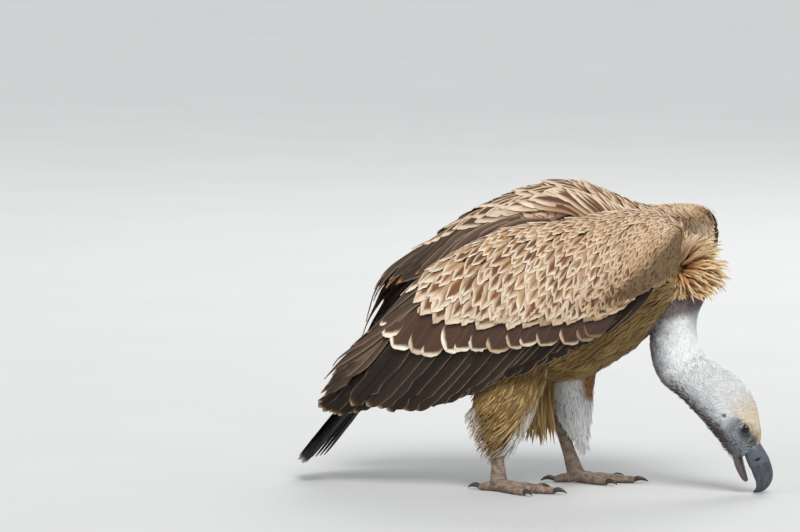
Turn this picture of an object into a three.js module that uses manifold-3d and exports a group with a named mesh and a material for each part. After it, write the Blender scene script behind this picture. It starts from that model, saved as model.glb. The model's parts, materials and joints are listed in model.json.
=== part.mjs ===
// A griffon vulture, life size, standing with its bill lowered to the ground: a still figure of solids.
// Millimetres. +X is where the bird faces, +Y its left side, +Z up. The origin is on the floor under the
// middle of the figure.
import * as THREE from "three";
import Module from "manifold-3d";

const wasm = await Module();
wasm.setup();

// ---------------------------------------------------------------- driving dimensions
const GAP = 0.3; // kept between parts that touch
const CENTRE_SHIFT = new THREE.Vector3(0, 0, 0); // brings the middle of the figure over the origin
const EYE_RADIUS = 10;

const COLOURS = {
  down: 0xe9e4dc,
  face: 0x8d8f95,
  horn: 0x3b4250,
  eye: 0x1a100b,
  ruff: 0xb98752,
  body: 0xa98a5c,
  covert: 0xc9ac86,
  flight: 0x3a2f2a,
  scale: 0x7d6c61,
  claw: 0x26221f,
};

// ---------------------------------------------------------------- small helpers
const vec = (x, y, z) => new THREE.Vector3(x, y, z);
const mix = THREE.MathUtils.lerp;
const rad = THREE.MathUtils.degToRad;

// A repeatable draw from 0 to 1 for each whole number.
function draw(n) {
  const x = Math.sin(n * 127.1 + 311.7) * 43758.5453;
  return x - Math.floor(x);
}

// Reads a smooth value at x from rows of [x, value, value, ...], in rising x.
function read(rows, x) {
  const last = rows.length - 1;
  if (x <= rows[0][0]) return rows[0].slice(1);
  if (x >= rows[last][0]) return rows[last].slice(1);
  const i = rows.findIndex((row) => row[0] > x) - 1;
  const [a, b] = [rows[i], rows[i + 1]];
  const before = rows[Math.max(i - 1, 0)];
  const after = rows[Math.min(i + 2, last)];
  const span = b[0] - a[0];
  const t = (x - a[0]) / span;
  return a.slice(1).map((value, k) => {
    const startSlope = ((b[k + 1] - before[k + 1]) / (b[0] - before[0])) * span;
    const endSlope = ((after[k + 1] - a[k + 1]) / (after[0] - a[0])) * span;
    const [t2, t3] = [t * t, t * t * t];
    return (
      (2 * t3 - 3 * t2 + 1) * value +
      (t3 - 2 * t2 + t) * startSlope +
      (3 * t2 - 2 * t3) * b[k + 1] +
      (t3 - t2) * endSlope
    );
  });
}

// ---------------------------------------------------------------- solids
function geometryOf(points, index) {
  const position = new Float32Array(points.flatMap((p) => p.toArray()));
  const geometry = new THREE.BufferGeometry();
  geometry.setAttribute("position", new THREE.BufferAttribute(position, 3));
  return geometry.setIndex(index);
}

function solidOf(geometry) {
  const made = new wasm.Manifold(
    new wasm.Mesh({
      numProp: 3,
      vertProperties: new Float32Array(geometry.getAttribute("position").array),
      triVerts: new Uint32Array(geometry.index.array),
    }),
  );
  if (made.volume() >= 0) return made;
  const turned = Array.from(geometry.index.array);
  for (let i = 0; i < turned.length; i += 3)
    [turned[i + 1], turned[i + 2]] = [turned[i + 2], turned[i + 1]];
  return solidOf(geometry.clone().setIndex(turned));
}

const fuse = (pieces) => pieces.reduce((whole, piece) => whole.add(piece));

// The largest closed surface of a solid, without scraps or sealed hollows.
function largest(whole) {
  const bodies = whole.decompose().filter((body) => body.volume() > 0);
  return bodies.sort((a, b) => b.volume() - a.volume())[0];
}

function meshOf(name, whole, colour, roughness = 0.85) {
  const made = largest(whole).getMesh();
  const position = new Float32Array(made.numVert * 3);
  for (let i = 0; i < made.numVert; i++)
    position.set(made.vertProperties.subarray(i * made.numProp, i * made.numProp + 3), i * 3);
  const geometry = new THREE.BufferGeometry();
  geometry.setAttribute("position", new THREE.BufferAttribute(position, 3));
  geometry.setIndex(new THREE.BufferAttribute(new Uint32Array(made.triVerts), 1));
  const mesh = new THREE.Mesh(geometry, new THREE.MeshStandardMaterial({ color: colour, roughness }));
  mesh.name = name;
  return mesh;
}

// A closed body from rings of points, all of one count, shut by a fan at each end, round the ring's centre
// or round a pole. The quads of the sides from turnFrom to turnTo are split along their other diagonal.
function body(rings, turnFrom = -1, turnTo = -1, poles = []) {
  const sides = rings[0].length;
  const centre = (ring) => ring.reduce((sum, p) => sum.add(p), vec(0, 0, 0)).divideScalar(sides);
  const [first = centre(rings[0]), last = centre(rings[rings.length - 1])] = poles;
  const points = [first, ...rings.flat(), last];
  const index = [];
  const at = (i, j) => 1 + i * sides + (j % sides);
  for (let j = 0; j < sides; j++) index.push(0, at(0, j + 1), at(0, j));
  for (let i = 0; i + 1 < rings.length; i++)
    for (let j = 0; j < sides; j++) {
      const [a, b, c, d] = [at(i, j), at(i, j + 1), at(i + 1, j), at(i + 1, j + 1)];
      if (j >= turnFrom && j <= turnTo) index.push(a, b, c, b, d, c);
      else index.push(a, b, d, a, d, c);
    }
  const end = rings.length - 1;
  for (let j = 0; j < sides; j++) index.push(points.length - 1, at(end, j), at(end, j + 1));
  return solidOf(geometryOf(points, index));
}

// One ring of an oval: across is its sideways axis, up its upper one, and the lower half has its own depth.
function oval(centre, across, up, halfWidth, upper, lower, sides) {
  return Array.from({ length: sides }, (_, j) => {
    const angle = (j / sides) * 2 * Math.PI;
    const rise = Math.sin(angle) >= 0 ? upper : lower;
    return centre
      .clone()
      .addScaledVector(across, Math.cos(angle) * halfWidth)
      .addScaledVector(up, Math.sin(angle) * rise);
  });
}

// A thin plate, such as a feather or a lock, with its two faces split alike. place(t, across, height)
// gives a point: t along it from its root to its tip, across in millimetres, height -1 below and 1 above.
// ribs is how many points each face has across.
function plate(place, width, shape, ribs = 2) {
  const rings = shape.map(([t, share]) => {
    const half = (share * width) / 2;
    const across = Array.from({ length: ribs }, (_, i) => mix(-half, half, i / (ribs - 1)));
    return [...across.map((c) => place(t, c, 1)), ...across.reverse().map((c) => place(t, c, -1))];
  });
  return body(rings, ribs, 2 * ribs - 2);
}

// ---------------------------------------------------------------- torso
// Rows of X, height of the axis, reach up, reach down, half width.
const TORSO = [
  [-226, 214, 1, 1, 1],
  [-210, 218, 24, 24, 27],
  [-130, 236, 60, 62, 62],
  [-60, 258, 96, 90, 86],
  [10, 280, 116, 116, 99],
  [80, 300, 122, 130, 104],
  [140, 316, 116, 112, 98],
  [195, 328, 98, 82, 84],
  [232, 334, 66, 54, 60],
  [250, 335, 2, 2, 2],
];
const TORSO_SIDES = 18;
const TORSO_STEPS = 17;

function torso(grow = 0) {
  const first = TORSO[0][0];
  const last = TORSO[TORSO.length - 1][0];
  const rings = [];
  for (let i = 0; i <= TORSO_STEPS; i++) {
    const x = mix(first, last, 0.5 - 0.5 * Math.cos((Math.PI * i) / TORSO_STEPS));
    const [height, up, down, half] = read(TORSO, x);
    rings.push(
      oval(vec(x, 0, height), vec(0, 1, 0), vec(0, 0, 1), half + grow, up + grow, down + grow, TORSO_SIDES),
    );
  }
  return body(rings);
}

// ---------------------------------------------------------------- neck and head, one run of ovals
// Rows of distance along the spine line, X, Z, half depth on the nape side, half depth on the throat side,
// half width, in the bird's middle plane.
const NECK = [
  [0, 166, 338, 40, 40, 40],
  [50, 214, 338, 43, 42, 42],
  [85, 237, 316, 37, 42, 40],
  [120, 233, 281, 27, 38, 36],
  [160, 224, 244, 34, 37, 34],
  [200, 225, 204, 41, 35, 33],
  [240, 250, 173, 46, 38, 33],
  [262, 268, 162, 45, 37, 33.5],
  [300, 295, 137, 44, 40, 34],
];
const RUFF_FROM = 30;
const RUFF_TO = 104;
const NECK_MIDDLE = 178;
const NECK_TO = 236;
const NECK_SIDES = 18;
const NECK_STEP = 15;

// Rows of distance, nape or crown point X, Z, throat or chin point X, Z, half width.
const HEAD = [
  [-20, 269, 220, 216, 160, 33],
  [0, 284, 205, 232, 146, 33.5],
  [20, 303, 193, 249, 132, 34],
  [40, 325, 179, 265, 118, 34],
  [56, 341, 161, 280, 101, 33],
  [72, 352, 139, 291, 88, 31.5],
  [88, 358, 116, 299, 77, 29],
  [102, 361, 96, 307, 66, 25],
  [114, 360.5, 81, 314, 56, 20],
  [122, 358, 73, 319, 50, 17],
];
const HEAD_SIDES = 18;
const HEAD_STEPS = 13;

function neckFrame(s) {
  const step = 0.5;
  const [x, z, nape, throat, half] = read(NECK, s);
  const [x0, z0] = read(NECK, s - step);
  const [x1, z1] = read(NECK, s + step);
  const along = vec(x1 - x0, 0, z1 - z0).normalize();
  const up = vec(-along.z, 0, along.x); // towards the nape
  return { centre: vec(x, 0, z), along, up, nape, throat, half };
}

function neckRing(s, grow = 0) {
  const f = neckFrame(s);
  return oval(f.centre, vec(0, 1, 0), f.up, f.half + grow, f.nape + grow, f.throat + grow, NECK_SIDES);
}

function neckLength(from, to, grow = 0) {
  const count = Math.round((to - from) / NECK_STEP);
  return body(Array.from({ length: count + 1 }, (_, i) => neckRing(mix(from, to, i / count), grow)));
}

function headRing(s, grow = 0) {
  const [cx, cz, tx, tz, half] = read(HEAD, s);
  const centre = vec((cx + tx) / 2, 0, (cz + tz) / 2);
  const up = vec(cx - tx, 0, cz - tz);
  const reach = up.length() / 2 + grow;
  return oval(centre, vec(0, 1, 0), up.normalize(), half + grow, reach, reach, HEAD_SIDES);
}

function skull(grow = 0) {
  const from = HEAD[0][0];
  const to = HEAD[HEAD.length - 1][0];
  const place = (i) => mix(from, to, i / HEAD_STEPS);
  return body(Array.from({ length: HEAD_STEPS + 1 }, (_, i) => headRing(place(i), grow)));
}

// ---------------------------------------------------------------- eyes, lids, ears
const EYE = vec(340, 19.5, 102);
const EYE_OUT = vec(0.1, 1, 0.08).normalize();
const LID_RING = 8.6;
const LID_THICK = 2.3;
const LID_OUT = 6.5; // how far the lids' ring lies out from the middle of the eye
const EAR = vec(309, 31.5, 122);
const EAR_RADIUS = 3.2;

const mirrored = (v, side) => vec(v.x, v.y * side, v.z);

// A ball of rings round its sideways axis.
function ball(centre, radius, segments = 12) {
  const bands = segments / 2;
  return body(
    Array.from({ length: bands - 1 }, (_, i) => {
      const fall = ((i + 1) / bands) * Math.PI;
      const reach = radius * Math.sin(fall);
      const middle = centre.clone().add(vec(0, radius * Math.cos(fall), 0));
      return oval(middle, vec(1, 0, 0), vec(0, 0, 1), reach, reach, reach, segments);
    }),
    -1,
    -1,
    [centre.clone().add(vec(0, radius, 0)), centre.clone().add(vec(0, -radius, 0))],
  );
}

function lidRing(side) {
  const out = mirrored(EYE_OUT, side);
  const centre = mirrored(EYE, side).addScaledVector(out, LID_OUT);
  const across = vec(1, 0, 0).cross(out).normalize();
  const along = out.clone().cross(across).normalize();
  const [steps, corners] = [12, 5];
  const points = [];
  const index = [];
  for (let i = 0; i < steps; i++) {
    const turn = (i / steps) * 2 * Math.PI;
    const radial = along.clone().multiplyScalar(Math.cos(turn)).addScaledVector(across, Math.sin(turn));
    for (let j = 0; j < corners; j++) {
      const around = (j / corners) * 2 * Math.PI;
      points.push(
        centre
          .clone()
          .addScaledVector(radial, LID_RING + LID_THICK * Math.cos(around))
          .addScaledVector(out, LID_THICK * Math.sin(around)),
      );
      const [a, b] = [i * corners + j, i * corners + ((j + 1) % corners)];
      const [c, d] = [(a + corners) % (steps * corners), (b + corners) % (steps * corners)];
      index.push(a, b, d, a, d, c);
    }
  }
  return solidOf(geometryOf(points, index));
}

// ---------------------------------------------------------------- bill
// Rows of distance, culmen point X, Z, cutting-edge point X, Z, half width.
const UPPER_BILL = [
  [0, 353, 86, 331, 71, 15],
  [10, 361, 74, 335, 61, 15],
  [24, 369.5, 60.5, 340, 48, 14],
  [38, 375.5, 48, 345.5, 36, 12.6],
  [50, 378.8, 36, 349, 27, 11.6],
  [61, 378.5, 24, 352, 19.5, 10.4],
  [71, 373.5, 13, 353, 12.5, 8.6],
  [80, 365.5, 5.2, 352, 8, 6],
  [87, 357, 2, 350, 5.4, 3.4],
  [91, 350.5, 1.4, 348, 3.2, 1.4],
];
// Rows of distance, mouth-side point X, Z, chin-side point X, Z, half width.
const LOWER_BILL = [
  [0, 329, 68, 316, 58, 14],
  [14, 331.5, 54, 319, 45, 12.4],
  [28, 335, 40, 324.5, 32, 10],
  [40, 338.5, 28, 331, 21.5, 7],
  [48, 340.5, 20.5, 336.5, 17.5, 3],
];
// The mouth: a wedge that opens from its corner towards the front.
const GAPE = [328, 74.5];
const MOUTH_UPPER = [356, 2];
const MOUTH_LOWER = [340, -2];
const BILL_SIDES = 12;

function billPart(rows) {
  const last = rows[rows.length - 1][0];
  const count = Math.round(last / 8);
  return body(
    Array.from({ length: count + 1 }, (_, i) => {
      const [ax, az, bx, bz, half] = read(rows, (i / count) * last);
      const up = vec(ax - bx, 0, az - bz);
      const reach = up.length() / 2;
      return oval(
        vec((ax + bx) / 2, 0, (az + bz) / 2),
        vec(0, 1, 0),
        up.normalize(),
        half,
        reach,
        reach,
        BILL_SIDES,
      );
    }),
  );
}

// The nostrils: an upright slit in each side of the bill's base. Its middle, the directions along and up
// the bill, half lengths in both, and depth.
const NOSTRIL = vec(357.5, 13.4, 54);
const NOSTRIL_ALONG = vec(0.42, 0, -0.91).normalize();
const NOSTRIL_UP = vec(0.91, 0, 0.42).normalize();
const NOSTRIL_HALF = [1.7, 4.4];
const NOSTRIL_DEPTH = 3.4;

function nostril(side) {
  const middle = mirrored(NOSTRIL, side);
  const at = (share) => middle.clone().add(vec(0, NOSTRIL_DEPTH * share, 0));
  return body(
    [0.7, 0, -0.7].map((share) => {
      const [along, up] = NOSTRIL_HALF.map((half) => half * Math.sqrt(1 - share * share));
      return oval(at(share), NOSTRIL_ALONG, NOSTRIL_UP, along, up, up, 10);
    }),
    -1,
    -1,
    [at(1), at(-1)],
  );
}

// ---------------------------------------------------------------- the folded wing's outer surface
// A chart lies on it: p runs from the wrist to the wing tip, and w upwards over the back, both in
// millimetres. Places above the widest line are given as a share of the way up to the wing's crest.
const WRIST = vec(262, 0, 366);
const WING_SLOPE = rad(22.4); // the long axis falls this much towards the tip
const ALONG = vec(-Math.cos(WING_SLOPE), 0, -Math.sin(WING_SLOPE));
const OVER = vec(-Math.sin(WING_SLOPE), 0, Math.cos(WING_SLOPE));
const MIDDLE_GAP = 4; // what each wing keeps clear of the bird's middle plane
const CURTAIN_RADIUS = 330; // below its widest line the wing hangs almost flat
// Rows of p, level of the widest line, half span there, sideways radius and upright radius above it.
// The left wing is held looser, so that its back stands higher.
const WINGS = {
  right: {
    side: -1,
    shift: vec(0, 0, 0),
    chart: [
      [-14, 50, 100, 3, 3],
      [-12, 46, 107, 12, 13],
      [-7, 40, 115, 24, 27],
      [3, 33, 123, 36, 44],
      [22, 26, 132, 48, 63],
      [56, 20, 138, 58, 84],
      [100, 18, 140, 66, 92],
      [170, 18, 139, 72, 110],
      [265, 18, 136, 74, 130],
      [340, 18, 130, 72, 124],
      [397, 17, 123, 68, 117],
      [445, 16, 117, 62, 98],
      [508, 12, 107, 52, 72],
      [576, 10, 96, 42, 50],
      [612, 9, 91, 34, 28],
      [650, 8, 86, 28, 16],
    ],
    tertials: [
      [606, -0.1],
      [620, 0.2],
      [598, 0.5],
      [562, 0.75],
      [520, 0.9],
      [470, 1.08],
    ],
  },
  left: {
    side: 1,
    shift: vec(4, 2, 12),
    chart: [
      [-14, 38, 100, 3, 4],
      [-12, 35, 107, 12, 13],
      [-7, 32, 115, 24, 23],
      [3, 28, 123, 36, 36],
      [30, 24, 136, 50, 52],
      [80, 24, 140, 60, 70],
      [110, 24, 141, 64, 96],
      [140, 26, 142, 68, 124],
      [180, 28, 142, 72, 148],
      [230, 30, 142, 76, 156],
      [280, 30, 141, 78, 158],
      [350, 30, 138, 78, 152],
      [410, 26, 132, 76, 142],
      [480, 22, 123, 70, 134],
      [520, 19, 117, 64, 116],
      [545, 16, 112, 58, 86],
      [580, 12, 106, 48, 48],
      [650, 8, 92, 34, 18],
    ],
    tertials: [
      [600, -0.1],
      [590, 0.3],
      [560, 0.65],
      [536, 0.95],
      [521, 1.05],
      [494, 1.14],
    ],
    scapulars: [
      [452, 0.98],
      [424, 1.14],
      [388, 1.25],
      [340, 1.3],
      [280, 1.32],
      [212, 1.3],
    ],
  },
};

function wingChart(one, p, w) {
  const [level, span, sideways, upright] = read(one.chart, p);
  const radius = w >= 0 ? (sideways + upright) / 2 : CURTAIN_RADIUS;
  const angle = w / radius;
  const reach = w >= 0 ? sideways : CURTAIN_RADIUS;
  const rise = w >= 0 ? upright : CURTAIN_RADIUS;
  const point = WRIST.clone()
    .add(one.shift)
    .addScaledVector(ALONG, p)
    .addScaledVector(OVER, level + rise * Math.sin(angle));
  point.y = one.side * Math.max(MIDDLE_GAP, one.shift.y + span - reach * (1 - Math.cos(angle)));
  return point;
}

// A point on the chart, raised outwards by lift.
function wingPoint(one, p, w, lift) {
  const step = 1.5;
  const dp = wingChart(one, p + step, w).sub(wingChart(one, p - step, w));
  const dw = wingChart(one, p, w + step).sub(wingChart(one, p, w - step));
  const normal = dw.cross(dp).normalize().multiplyScalar(-one.side);
  return wingChart(one, p, w).addScaledVector(normal, lift);
}

// The w of a height on the wing: hundreds of millimetres below the widest line, shares of the crest above.
function wingHeight(one, p, height) {
  const [, , sideways, upright] = read(one.chart, p);
  return height < 0 ? height * 100 : (height * (sideways + upright) * Math.PI) / 4;
}

// The arm: one smooth lens under the coverts, between the outer surface and the flank.
// Rows of p, lower and upper height of its edges, depth, and how far it lies over the chart.
const ARM = [
  [-13.5, -0.03, 0.3, 4, 0],
  [-8, -0.12, 0.7, 24, -0.5],
  [3, -0.28, 0.9, 40, -1],
  [22, -0.38, 1, 52, -1.5],
  [56, -0.44, 1.15, 58, -2],
  [100, -0.5, 1.3, 58, -3],
  [170, -0.54, 1.52, 54, -4.5],
  [240, -0.5, 1.6, 46, -4.5],
  [330, -0.34, 1.55, 34, -4.5],
  [400, -0.02, 1.35, 28, -5],
  [440, 0.06, 1.05, 24, -6],
  [466, 0.2, 0.8, 10, -8],
];
const ARM_SINK = 6; // how far its edges dive
const ARM_STEPS = 14;
const ARM_OUTER = 8;
const ARM_INNER = 5;

function arm(one) {
  const first = ARM[0][0];
  const last = ARM[ARM.length - 1][0];
  const rings = [];
  for (let i = 0; i <= ARM_STEPS; i++) {
    const p = mix(first, last, (i / ARM_STEPS) ** 1.4);
    const [low, high, depth, lift] = read(ARM, p);
    const [from, to] = [wingHeight(one, p, low), wingHeight(one, p, high)];
    const place = (turn) => {
      const w = mix(from, to, 0.5 - 0.5 * Math.cos(turn));
      const lens = Math.sin(turn);
      const edge = lift - Math.min(ARM_SINK, depth / 4) * (1 - Math.abs(lens));
      return wingPoint(one, p, w, lens >= 0 ? edge : edge + depth * lens);
    };
    const ring = [];
    for (let j = 0; j <= ARM_OUTER; j++) ring.push(place((Math.PI * j) / ARM_OUTER));
    for (let j = 1; j < ARM_INNER; j++) ring.push(place(Math.PI + (Math.PI * j) / ARM_INNER));
    rings.push(ring);
  }
  return body(rings);
}

// Each tier of the wing's feathers. tips is the line that their tips keep to, as rows of p and height.
// heading is the turn of a feather from the long axis in degrees, at both ends of that line. lift is how
// far its tip lies over the chart, slope how it dives from there to its root, and tilt how far its lower
// edge stands over its upper one, as a slope. ribs is how many points a vane has across.
const FLIGHT = [
  [0, 0.35],
  [0.45, 0.92],
  [0.88, 0.96],
  [1, 0.36],
];
const COVERT = [
  [0, 0.5],
  [0.5, 1],
  [0.82, 0.8],
  [1, 0.16],
];
const TIERS = [
  {
    name: "primaries",
    count: 4,
    tips: [
      [590, -0.4],
      [612, -0.33],
      [630, -0.18],
      [636, 0],
    ],
    heading: [-24, -27],
    length: [205, 205],
    width: [30, 30],
    lift: -14,
    slope: 0.01,
    tilt: 0.1,
    shape: FLIGHT,
    ribs: 2,
  },
  {
    name: "secondaries",
    count: 11,
    tips: [
      [168, -0.7],
      [225, -0.72],
      [300, -0.79],
      [380, -0.8],
      [450, -0.79],
      [500, -0.72],
      [548, -0.5],
      [584, -0.26],
    ],
    heading: [-15, -24],
    length: [110, 215],
    width: [44, 40],
    lift: -9,
    slope: 0.01,
    tilt: 0.12,
    shape: FLIGHT,
    ribs: 2,
  },
  {
    name: "tertials",
    count: 5,
    heading: [-26, -6],
    length: [190, 140],
    width: [44, 50],
    lift: -2.5,
    slope: 0.045,
    tilt: 0.09,
    shape: FLIGHT,
    ribs: 3,
  },
  {
    name: "scapulars",
    count: 5,
    tips: [
      [452, 0.98],
      [424, 1.18],
      [388, 1.36],
      [340, 1.5],
      [280, 1.62],
      [212, 1.66],
    ],
    heading: [-12, 6],
    length: [112, 90],
    width: [52, 58],
    lift: 0.5,
    slope: 0.09,
    tilt: 0.02,
    shape: COVERT,
    ribs: 3,
  },
  {
    name: "greater coverts",
    count: 10,
    tips: [
      [160, -0.66],
      [202, -0.7],
      [242, -0.59],
      [307, -0.42],
      [346, -0.27],
      [396, -0.1],
      [438, 0.02],
      [463, 0.13],
      [486, 0.3],
      [496, 0.52],
      [484, 0.76],
    ],
    heading: [-38, -30],
    length: [76, 92],
    width: [46, 50],
    lift: -1.5,
    slope: 0.1,
    tilt: 0,
    shape: COVERT,
    ribs: 2,
  },
  {
    name: "median coverts",
    count: 9,
    tips: [
      [125, -0.46],
      [172, -0.48],
      [225, -0.34],
      [280, -0.17],
      [333, 0],
      [372, 0.1],
      [400, 0.22],
      [420, 0.42],
      [428, 0.66],
      [418, 0.88],
    ],
    heading: [-42, -30],
    length: [62, 74],
    width: [46, 50],
    lift: 1,
    slope: 0.14,
    tilt: 0,
    shape: COVERT,
    ribs: 2,
  },
];
const VANE_THICK = 0.7;

// One feather on the wing, laid back from its tip at p and w.
function wingFeather(one, tip, heading, length, width, tier) {
  const turn = rad(heading);
  return plate(
    (t, across, height) => {
      const back = length * (t - 1);
      const p = tip.x + back * Math.cos(turn) - across * Math.sin(turn);
      const w = tip.y + back * Math.sin(turn) + across * Math.cos(turn);
      const lift = tier.lift + tier.slope * back - tier.tilt * across;
      return wingPoint(one, p, w, lift + (height * VANE_THICK) / 2);
    },
    width,
    tier.shape,
    tier.ribs,
  );
}

const TIP_SCATTER = 5;

function tierFeathers(one, tier, k) {
  const tips = one[tier.name] ?? tier.tips;
  const line = new THREE.CatmullRomCurve3(tips.map(([p, h]) => vec(p, wingHeight(one, p, h), 0)));
  return Array.from({ length: tier.count }, (_, i) => {
    const u = i / (tier.count - 1);
    const vary = draw(i + 40 * k) - 0.5;
    const size = 1 + 0.08 * vary;
    return wingFeather(
      one,
      line.getPointAt(u).add(vec(TIP_SCATTER * vary, 0, 0)),
      mix(...tier.heading, u),
      mix(...tier.length, u) * size,
      mix(...tier.width, u),
      tier,
    );
  });
}

const wing = (one) => fuse([arm(one), ...TIERS.flatMap((tier, k) => tierFeathers(one, tier, k))]);

// ---------------------------------------------------------------- tail
const TAIL_ROOT = vec(-218, 0, 222);
const TAIL_FALL = rad(50.7);
const TAIL_ALONG = vec(-Math.cos(TAIL_FALL), 0, -Math.sin(TAIL_FALL));
const TAIL_TOP = vec(-Math.sin(TAIL_FALL), 0, Math.cos(TAIL_FALL));
const TAIL_LENGTH = 241;
const TAIL_FEATHERS = 12;
const TAIL_SPREAD = rad(17);
const TAIL_FEATHER_WIDTH = 34;
const TAIL_ROOT_SPAN = 34;
const TAIL_STACK = 18; // from the middle feathers down to the outer ones
const TAIL_FEATHER_THICK = 0.8;
// Rows of distance from the root, half width and half thickness of the fleshy end that holds the quills.
const TAIL_PAD = [
  [-34, 8, 6],
  [-20, 20, 14],
  [8, 27, 15],
  [45, 26, 11],
  [74, 20, 4],
];

function tailFeather(i) {
  const off = (i + 0.5) / TAIL_FEATHERS - 0.5; // from -0.5 at its right edge to 0.5
  const rank = Math.abs(off) * 2;
  const turn = off * TAIL_SPREAD;
  const length = TAIL_LENGTH * (1 - 0.06 * rank * rank + 0.02 * draw(i));
  const start = -12;
  return plate(
    (t, across, height) => {
      const side = off * TAIL_ROOT_SPAN + length * t * Math.sin(turn) + across;
      const stack = 5 - rank * TAIL_STACK - (off > 0 ? TAIL_STACK / TAIL_FEATHERS : 0);
      return TAIL_ROOT.clone()
        .addScaledVector(TAIL_ALONG, start + (length - start) * t * Math.cos(turn))
        .addScaledVector(TAIL_TOP, stack + (height * TAIL_FEATHER_THICK) / 2)
        .add(vec(0, side, 0));
    },
    TAIL_FEATHER_WIDTH,
    FLIGHT,
  );
}

function tail() {
  const pad = TAIL_PAD.map(([t, half, thick]) =>
    oval(TAIL_ROOT.clone().addScaledVector(TAIL_ALONG, t), vec(0, 1, 0), TAIL_TOP, half, thick, thick, 12),
  );
  return fuse([body(pad), ...Array.from({ length: TAIL_FEATHERS }, (_, i) => tailFeather(i))]);
}

// ---------------------------------------------------------------- ruff: the neck's root in its collar
// Rows of distance along the spine line and how far the collar's down stands out there.
const COLLAR = [
  [30, 2],
  [60, 10],
  [86, 12],
  [104, 1],
];
const COLLAR_STEPS = 6;
const RUFF_ROWS = 4;
const RUFF_PER_ROW = 7;
const RUFF_ARC = 118; // degrees each way from the nape
const RUFF_LENGTH = [52, 32]; // of the row nearest the shoulders, and of the last one
const RUFF_WIDTH = 15;
const LOCK = [
  [0, 0.7],
  [0.55, 1],
  [1, 0.1],
];

// A flat tapered lock that sets off from root along heading and bends by pull towards its tip.
function lock(root, heading, face, pull, length, width, thick) {
  const across = heading.clone().cross(face).normalize();
  return plate(
    (t, side, height) =>
      root
        .clone()
        .addScaledVector(heading, length * t)
        .addScaledVector(pull, t * t)
        .addScaledVector(across, side)
        .addScaledVector(face, (height * thick * (1 - 0.6 * t)) / 2),
    width,
    LOCK,
  );
}

function collar() {
  const rings = Array.from({ length: COLLAR_STEPS + 1 }, (_, i) => {
    const s = mix(RUFF_FROM, RUFF_TO, i / COLLAR_STEPS);
    return neckRing(s, read(COLLAR, s)[0]);
  });
  return body(rings);
}

function ruffLock(row, i) {
  const n = row * RUFF_PER_ROW + i;
  const place = (i + (row % 2) * 0.5) / (RUFF_PER_ROW - 0.5);
  const turn = rad(mix(-RUFF_ARC, RUFF_ARC, place) + 6 * (draw(n) - 0.5));
  const side = Math.abs(Math.sin(turn)); // the shoulders keep the ruff's sides further down the neck
  const s = Math.min(62 + row * 13 + 18 * side, RUFF_TO - 4) + 4 * (draw(n + 50) - 0.5);
  const f = neckFrame(s);
  const radial = f.up.clone().multiplyScalar(Math.cos(turn)).add(vec(0, Math.sin(turn), 0));
  const reach = (Math.cos(turn) > 0 ? f.nape : f.throat) + read(COLLAR, s)[0];
  const along = mix(0.9, 0.4, row / (RUFF_ROWS - 1)) + 0.4 * draw(n + 90) + 0.5 * side;
  const heading = radial.clone().addScaledVector(f.along, along).normalize();
  const face = radial.clone().multiplyScalar(along).sub(f.along).normalize();
  const pull = radial.clone().multiplyScalar(4);
  const root = f.centre.clone().addScaledVector(radial, reach * 0.8);
  const length = mix(...RUFF_LENGTH, row / (RUFF_ROWS - 1)) * mix(0.85, 1.1, draw(n + 130));
  return lock(root, heading, face, pull, length, RUFF_WIDTH, 2.4);
}

function ruff() {
  const locks = [];
  for (let row = 0; row < RUFF_ROWS; row++)
    for (let i = 0; i < RUFF_PER_ROW; i++) locks.push(ruffLock(row, i));
  return fuse([collar(), ...locks]);
}

// ---------------------------------------------------------------- legs
// One leg: the feathered thigh as rows of height Z, centre X, centre Y, half length, half width, and the
// ankle and heel that the bare shank runs between.
const LEGS = {
  right: {
    side: -1,
    sweep: -0.1,
    thigh: [
      [74, -26, -72, 12, 11],
      [88, -25, -71, 24, 20],
      [112, -23, -70, 36, 28],
      [145, -24, -67, 52, 35],
      [175, -16, -62, 56, 38],
      [215, 0, -54, 54, 36],
    ],
    ankle: vec(-42, -71, 120),
    foot: vec(-36, -74, 14),
    facing: rad(-8),
  },
  left: {
    side: 1,
    sweep: 0.18,
    thigh: [
      [64, 64, 62, 8, 9],
      [78, 60, 62, 16, 16],
      [98, 53, 62, 26, 24],
      [126, 47, 61, 38, 31],
      [155, 44, 58, 44, 36],
      [215, 48, 52, 52, 36],
    ],
    ankle: vec(16, 62, 128),
    foot: vec(53, 64, 14),
    facing: rad(8),
  },
};
const THIGH_SIDES = 12;
const THIGH_STEPS = 6;
const TROUSER_ROWS = 2;
const TROUSER_PER_ROW = 6;
const SHANK_RADIUS = 10.5;

function thighCore(leg) {
  const low = leg.thigh[0][0];
  const high = leg.thigh[leg.thigh.length - 1][0];
  const rings = Array.from({ length: THIGH_STEPS + 1 }, (_, i) => {
    const z = mix(low, high, i / THIGH_STEPS);
    const [x, y, long, wide] = read(leg.thigh, z);
    return oval(vec(x, y, z), vec(1, 0, 0), vec(0, 1, 0), long, wide, wide, THIGH_SIDES);
  });
  return body(rings);
}

// The long soft feathers that hang round the thigh, above the bare shank.
function trouserLock(leg, row, i) {
  const n = row * TROUSER_PER_ROW + i;
  const turn = ((i + (row % 2) * 0.5) / TROUSER_PER_ROW) * 2 * Math.PI;
  const z = leg.thigh[0][0] + 36 + row * 30;
  const [x, y, long, wide] = read(leg.thigh, z);
  const out = vec(Math.cos(turn) / long, Math.sin(turn) / wide, 0).normalize();
  const root = vec(x + long * 0.8 * Math.cos(turn), y + wide * 0.8 * Math.sin(turn), z);
  const heading = vec(leg.sweep, 0, -1).addScaledVector(out, 0.1 + 0.12 * row).normalize();
  return lock(root, heading, out, vec(-3, 0, 0), 34 + 10 * draw(n + 7), 32, 2.5);
}

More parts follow.
